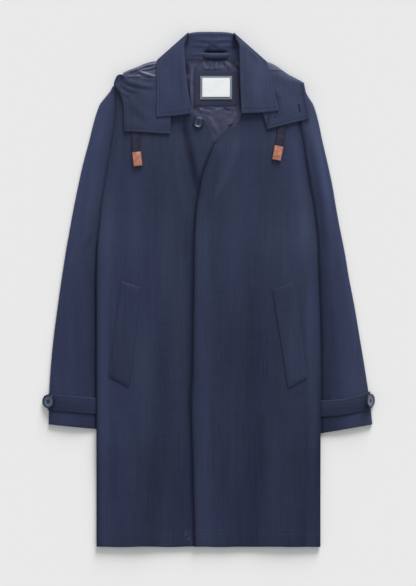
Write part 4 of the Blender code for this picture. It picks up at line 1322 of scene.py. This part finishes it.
# painted highlight on the left bump, painted shade in its notch, painted shade on the right
# corner under the hood
bandPaintedShade = {
    "left": paintedStrokes(
        (-186, 392, -170, 420, 1, 7, 0.55),
        (-171.2, 421, -168.2, 408, 0, 2.6, -1.3),
        (-166, 413, -120, 405, 1, 5, 0.3),
        (-170, 404, -130, 390, 2, 6, -0.2)),
    "right": paintedStrokes(
        (118, 342, 115, 313, 0, 4, -0.4),
        (108, 427, 147, 427, 0, 2.6, -0.6),
        (105, 438, 150, 432, 0, 10, -0.55),
        (124, 430, 180, 395, 0, 10, 0.14),
        (130, 390, 140, 330, 2, 12, -0.12)),
}
bandSlit = ((0.1752, 0.3612), (0.1786, 0.3448))          # ends of the buttonhole
bandDot = Vector((0.1302, 0.3354))       # a small dark spot
cornerY = 0.4275
crestLine = smoothLine([(0.096, 0.4435), (0.116, 0.4432), (0.131, 0.4366), (0.1424, 0.4285),
                        (0.155, 0.4195), (0.17, 0.4115), (0.1862, 0.4022)])


def besideLine(point, start, end):       # off a short line in plan, and along it from -1 to 1
    start, end = Vector(start), Vector(end)
    run, away = end - start, point.xy - (start + end) / 2
    return run.cross(away) / run.length, 2 * away.dot(run) / run.length_squared


def bandMiddle(x, y):                    # level with the coat half a tape further in
    side = "left" if x < 0 else "right"
    place = min(abs(x), bodyAt[side](y)) - tapeWide / 2
    gap = innerGap(place, belowNeck(y))
    return backMiddle(signOf[side] * place, y) + wall * 1.5 + gap + bandRise


def overCrest(last):                     # the right band goes on over the shoulder's crest
    rows = []
    for share in between(0, 1, 14)[1:]:
        row = []
        for p in last:
            crestY = max(crestLine(p.x), p.y + 0.001)
            seamY = clamp(cornerY, p.y + 0.0005, crestY - 0.0005)    # the lining's edge
            y = blend(p.y, seamY, share * 2)
            if share > 0.5:
                y = blend(seamY, crestY, share * 2 - 1)
            gone = (y - p.y) / (crestY - p.y)
            flat = bandMiddle(p.x, blend(p.y, crestY - 0.004, gone))
            flat += (p.z - bandMiddle(p.x, p.y)) * (1 - gone)
            row.append(Vector((p.x, y, blend(flat, 0.0095, gone ** 3))))
        rows.append(row)
    return rows


def buildBands():
    for side in ("left", "right"):
        reach = bandReach[side]
        outerAt = smoothLine([(y, a) for y, a, b in reach])
        innerAt = smoothLine([(y, b) for y, a, b in reach])
        slant, level = bandSlant[side]
        lowY, highY = reach[0][0], reach[-1][0]
        rows, marks = [], []
        for y in between(lowY, highY, 44):
            tilt = slant * (highY - y) / (highY - lowY)
            row, lines = [], []
            for share in between(0, 1, 40):
                x = blend(outerAt(y), innerAt(y), share)
                py = y + tilt * (abs(x) - level)
                py += 0.0075 * hump(x + 0.1715, 0.014) * ease((y - 0.398) / 0.014)
                up = y - lowY
                edge = (share if side == "left" else 1 - share) * abs(innerAt(y) - outerAt(y))
                lift = creased(x, py, bandCreases[side]) * ease(edge / 0.006)
                lift += uneven(x, py, 0.035, 0.0009, 13.0) * ease(up / 0.02)
                lift += 0.0008 * hump(edge - 0.003, 0.006) - 0.001 * ease(1 - up / 0.02)
                row.append(Vector((x, py, bandMiddle(x, py) + lift)))
                lines.append((min(up, edge) - 0.005, x if up < edge else y))
            rows.append(row)
            marks.append(lines)
        slit, dot = None, None
        if side == "right":
            top = overCrest(rows[-1])
            rows += top
            marks += [[cloth["unstitched"]] * len(row) for row in top]
            slit = [[besideLine(p, *bandSlit) for p in row] for row in rows]
            dot = [[tuple(p.xy - bandDot) for p in row] for row in rows]
        # both bands are painted lighter than the body: painted light on the upper pieces
        plain = 0.3 if side == "left" else 0.4
        tone = [[plain + paintedShading(p.x, p.y, bandPaintedShade[side]) for p in row] for row in rows]
        name = "hoodBand" + side.capitalize()
        piece = clothGrid(name, rows, collar["wall"], shell, layFlat(rows, (16, 0)), marks,
                          tone=tone, slit=slit, dot=dot)
        if side == "right":
            showLining(piece)
        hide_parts("hood_band_" + side)


def showLining(piece):                   # a corner of lining shows where the hood goes under
    piece.data.materials.append(lining)
    for face in piece.data.polygons:
        if face.center.y > cornerY + 0.0001:
            face.material_index = 1


def buildHoodLining():
    baseY = 0.4085
    crestAt = smoothLine([(-0.166, 0.4235), (-0.1535, 0.429), (-0.1375, 0.435),
                          (-0.1219, 0.4417), (-0.1051, 0.4456), (-0.095, 0.4462)])
    gathers = folds(
        (-160, 421.5, -100, 443, -1, 3, 1.4),
        (-144, 429, -96, 436, 3, 3, 1.3),
        (-142, 429, -96, 413, 2, 4, 1.8),
        (-162, 415, -130, 416, 1, 3, 0.8))
    # painted highlights and painted shade on the lining's gathers
    lightAndShade = paintedStrokes(
        (-142, 430, -96, 413, 1, 3.6, 0.9),
        (-130, 438, -96, 433, 1, 3, -0.7),
        (-156, 423, -128, 422, 0, 4, -0.6),
        (-154, 426, -104, 442, -1, 2.2, 0.5))
    rows = []
    for share in between(0, 1, 34):
        row = []
        for across in between(0, 1, 40):
            lowX, highX = blend(-0.169, -0.095, across), blend(-0.166, -0.095, across)
            place = Vector((lowX, baseY)).lerp(Vector((highX, crestAt(highX))), share)
            rise = blend(0.0146, 0.0122, min(share / 0.9, 1))
            rise = blend(bandMiddle(place.x, place.y) - 0.0018, rise, ease((share - 0.1) / 0.25))
            rise = blend(rise, 0.009, ease((share - 0.82) / 0.18))
            wave = creased(*place, gathers) + uneven(*place, 0.014, 0.0006, 5.0)
            wave *= ease((1 - share) / 0.2) * ease(share / 0.1)
            row.append(Vector((*place, rise + wave)))
        rows.append(row)
    tone = [[0.35 + paintedShading(p.x, p.y, lightAndShade) for p in row] for row in rows]
    piece = clothGrid("hoodLiningLeft", rows, trimWall, lining, layFlat(rows, (2, 0)), tone=tone)
    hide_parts("hood_lining_left")


# drawcords: flat tapes with folded leather tips

tape = {"wide": tapeWide, "thick": 0.0016, "steps": 34}
tip = {"long": 0.028, "wide": 0.0175, "thick": 0.0044, "gap": 0.0003}
cords = [                                # side, from where, to where, how far it leans
    ("left", (-0.1425, 0.37), (-0.1414, 0.2685), 0.001),
    ("right", (0.149, 0.379), (0.1386, 0.2798), -0.0009),
]


def plainFront(x, y):                    # the front without its creases, as the tapes were laid
    return backMiddle(x, y) + wall + innerGap(x, y < 0.3)


def restOnFront(x, y, wide, thick):
    lying = max(plainFront(x + reach * wide / 2, y) for reach in (-1, -0.5, 0, 0.5, 1))
    return lying + wall / 2 + coat["seam"] + thick / 2


def buildCords(finish, leather):
    for side, start, end, lean in cords:
        start, end = Vector(start), Vector(end)
        run = (end - start).normalized()
        square = Vector((-run.y, run.x))
        path = []
        for share in between(0, 1, tape["steps"]):
            place = start.lerp(end, share) + square * (lean * share ** 12)
            low = coatTop(*place) + coat["seam"] + tape["thick"] / 2
            rest = restOnFront(*place, tape["wide"], tape["thick"])
            path.append(Vector((*place, max(low, rest - 0.0002))))
        rings, uvs = [], []
        length = (end - start).length
        for i, middle in enumerate(path):
            ring, uv = [], []
            run = (path[min(i + 1, len(path) - 1)].xy - path[max(i - 1, 0)].xy).normalized()
            square = Vector((-run.y, run.x))
            for k in range(20):
                angle = math.tau * k / 20
                c, s = math.cos(angle), math.sin(angle)
                reach = math.copysign(abs(c) ** 0.22, c) * tape["wide"] / 2
                rise = math.copysign(abs(s) ** 0.7, s) * tape["thick"] / 2
                ring.append(middle + Vector((square.x * reach, square.y * reach, rise)))
                uv.append((reach, length * i / tape["steps"]))
            rings.append(ring)
            uvs.append(uv)
        cord = closedSkin("drawcord" + side.capitalize(), rings, finish, uvs)
        leatherTip = buildTip(side, path[-1], run, leather)
        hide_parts("drawcord_" + side)


def buildTip(side, end, run, leather):
    bpy.ops.object.select_all(action="DESELECT")
    bpy.ops.mesh.primitive_cube_add(size=1, location=(0, 0, 0))
    piece = bpy.context.object
    piece.name = "cordTip" + side.capitalize()
    bpy.ops.object.mode_set(mode="EDIT")
    bpy.ops.mesh.select_all(action="SELECT")
    bpy.ops.transform.resize(value=(tip["long"], tip["wide"], tip["thick"]))
    bpy.ops.mesh.bevel(offset=0.0009, segments=3, affect="EDGES")
    bpy.ops.object.mode_set(mode="OBJECT")
    mesh = piece.data
    layer = mesh.uv_layers[0]
    layer.name = "cloth"
    for loop in mesh.loops:
        place = mesh.vertices[loop.vertex_index].co
        layer.data[loop.index].uv = (place.x, place.y)
    mesh.materials.append(leather)
    centre = end.xy + run * (tip["long"] / 2 + tip["gap"])
    ends = (end.y, centre.y, centre.y + run.y * tip["long"] / 2)
    rest = max(restOnFront(centre.x, y, tip["wide"], tip["thick"]) for y in ends)
    rest = max(rest, coatTop(*centre) + tip["thick"] / 2 + 0.0002)
    turn = Matrix.Rotation(math.atan2(run.y, run.x), 4, "Z")
    mesh.transform(Matrix.Translation((*centre, rest)) @ turn)
    bpy.ops.object.shade_smooth_by_angle(angle=math.radians(40))
    piece.select_set(False)
    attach(piece, "root")
    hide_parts("cord_tip_" + side)
    return piece


# buttons

buttonLook = {"sides": 64, "holeRadius": 0.085, "holeSpread": 0.2, "threadRadius": 0.045,
              "turned": 20}              # radii are shares of the button's own
faceInsets = [(0.14, 0.26), (0.16, 0.1), (0.16, 0.02)]   # how far in, and how far it sinks
button = namedtuple("button", "name node radius thick x y z tilt")
buttons = [
    button("neckButton", "neck_button", 0.0105, 0.0034, -0.0194, 0.3262, None, 0),
    button("cuffButtonLeft", "cuff_button_left", 0.0134, 0.0038, -0.3125, -0.2184, 0.0096, -25),
    button("cuffButtonRight", "cuff_button_right", 0.0134, 0.0038, 0.3158, -0.2165, 0.0118, 50),
]


def pickFaces(mesh, test):               # in edit mode: selects the faces that pass the test
    shape = bmesh.from_edit_mesh(mesh)
    for face in shape.faces:
        face.select_set(test(face))
    shape.select_flush_mode()
    bmesh.update_edit_mesh(mesh)


def pickRim(mesh, radius):               # in edit mode: the rings of edges round the rim
    shape = bmesh.from_edit_mesh(mesh)
    for edge in shape.edges:
        a, b = (v.co for v in edge.verts)
        rim = min(a.xy.length, b.xy.length) > radius * 0.76
        level = abs(a.z - b.z) < 1e-6
        edge.select_set(rim and level and abs(a.xy.length - b.xy.length) < radius * 0.01)
    bmesh.update_edit_mesh(mesh)


def drillHoles(piece, radius, thick):
    spread, hole = radius * buttonLook["holeSpread"], radius * buttonLook["holeRadius"]
    for x, y in ((-1, -1), (1, -1), (1, 1), (-1, 1)):
        bpy.ops.mesh.primitive_cylinder_add(vertices=16, radius=hole, depth=thick * 3,
                                            location=(x * spread, y * spread, 0))
        cutter = bpy.context.object
        cut = piece.modifiers.new("hole", "BOOLEAN")
        cut.object, cut.solver, cut.operation = cutter, "EXACT", "DIFFERENCE"
        pickOnly(piece)
        bpy.ops.object.modifier_apply(modifier="hole")
        bpy.data.objects.remove(cutter)


def sewOn(radius, thick, thread, turn):  # one bar of thread across two holes
    spread = radius * buttonLook["holeSpread"]
    bpy.ops.object.select_all(action="DESELECT")
    bpy.ops.mesh.primitive_cylinder_add(vertices=12, radius=radius * buttonLook["threadRadius"],
                                        depth=spread * 2.9)
    stitch = bpy.context.object
    bpy.ops.object.mode_set(mode="EDIT")
    bpy.ops.mesh.select_all(action="SELECT")
    bpy.ops.mesh.subdivide(number_cuts=4)
    bpy.ops.object.mode_set(mode="OBJECT")
    turned = Matrix.Rotation(math.radians(45 + 90 * turn), 4, "Z")
    stitch.data.transform(turned @ Matrix.Rotation(math.pi / 2, 4, "Y"))
    for v in stitch.data.vertices:
        v.co.z += thick * (0.15 + 0.05 * turn) - (v.co.xy.length / spread) ** 2 * thick * 0.12
    stitch.data.materials.append(thread)
    for face in stitch.data.polygons:
        face.use_smooth = True
    return stitch


def turnButton(radius, thick, horn, thread):             # one button at the origin, facing up
    bpy.ops.object.select_all(action="DESELECT")
    bpy.ops.mesh.primitive_cylinder_add(vertices=buttonLook["sides"], radius=radius, depth=thick)
    piece = bpy.context.object
    bpy.ops.object.mode_set(mode="EDIT")
    bpy.ops.mesh.select_mode(type="FACE")
    pickFaces(piece.data, lambda face: face.normal.z < -0.9)
    bpy.ops.mesh.inset(thickness=radius * 0.14)
    bpy.ops.transform.translate(value=(0, 0, -thick * 0.02))
    pickFaces(piece.data, lambda face: face.normal.z > 0.9)
    bpy.ops.mesh.inset(thickness=radius * 0.22)
    for inset, sink in faceInsets:
        bpy.ops.mesh.inset(thickness=radius * inset)
        bpy.ops.transform.translate(value=(0, 0, -thick * sink))
    bpy.ops.mesh.select_mode(type="EDGE")
    pickRim(piece.data, radius)
    bpy.ops.mesh.bevel(offset=radius * 0.075, segments=4, affect="EDGES")
    bpy.ops.object.mode_set(mode="OBJECT")
    drillHoles(piece, radius, thick)
    pickOnly(piece)
    bpy.ops.object.shade_smooth_by_angle(angle=math.radians(35))
    piece.data.materials.append(horn)
    stitches = [sewOn(radius, thick, thread, turn) for turn in (0, 1)]
    pickOnly(piece)
    for stitch in stitches:
        stitch.select_set(True)
    bpy.ops.object.join()
    piece.select_set(False)
    return piece


def buildButtons(thread):
    neckHorn = hornFinish("darkHorn", rgb(0.034, 0.048, 0.095), 0.85)
    cuffHorn = hornFinish("blueHorn", rgb(0.105, 0.145, 0.25), 0.1)
    for item in buttons:
        horn = cuffHorn if item.tilt else neckHorn
        piece = turnButton(item.radius, item.thick, horn, thread)
        piece.name = item.name
        layer = piece.data.uv_layers.new(name="cloth")
        for loop in piece.data.loops:
            flat = piece.data.vertices[loop.vertex_index].co
            layer.data[loop.index].uv = (flat.x / item.radius, flat.y / item.radius)
        height = item.z
        if height is None:               # it lies on the front
            height = max(coatTop(item.x, item.y), coatTop(item.x - 0.006, item.y))
            height += coat["seam"] + item.thick / 2
        lie = Matrix.Translation((item.x, item.y, height))
        lie = lie @ Matrix.Rotation(math.radians(item.tilt), 4, "Y")
        piece.data.transform(lie @ Matrix.Rotation(math.radians(buttonLook["turned"]), 4, "Z"))
        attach(piece, "root")
        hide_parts(item.node)


print("numbers and finishes ready")
buildView()
buildCords(tapeFinish(), leatherFinish())
buildStudio()
shell = shellFinish()
lining = liningFinish()
buildBack()
buildFronts()
print("body panels")
buildSleeves()
buildStraps()
print("sleeves and straps")
buildPockets()
print("pockets")
buildNeckLining()
buildLabels()
buildStand()
buildCollar()
buildHangerLoop()
print("neck")
buildHood()
buildBands()
buildHoodLining()
print("hood")
buildButtons(threadFinish())
print("buttons")
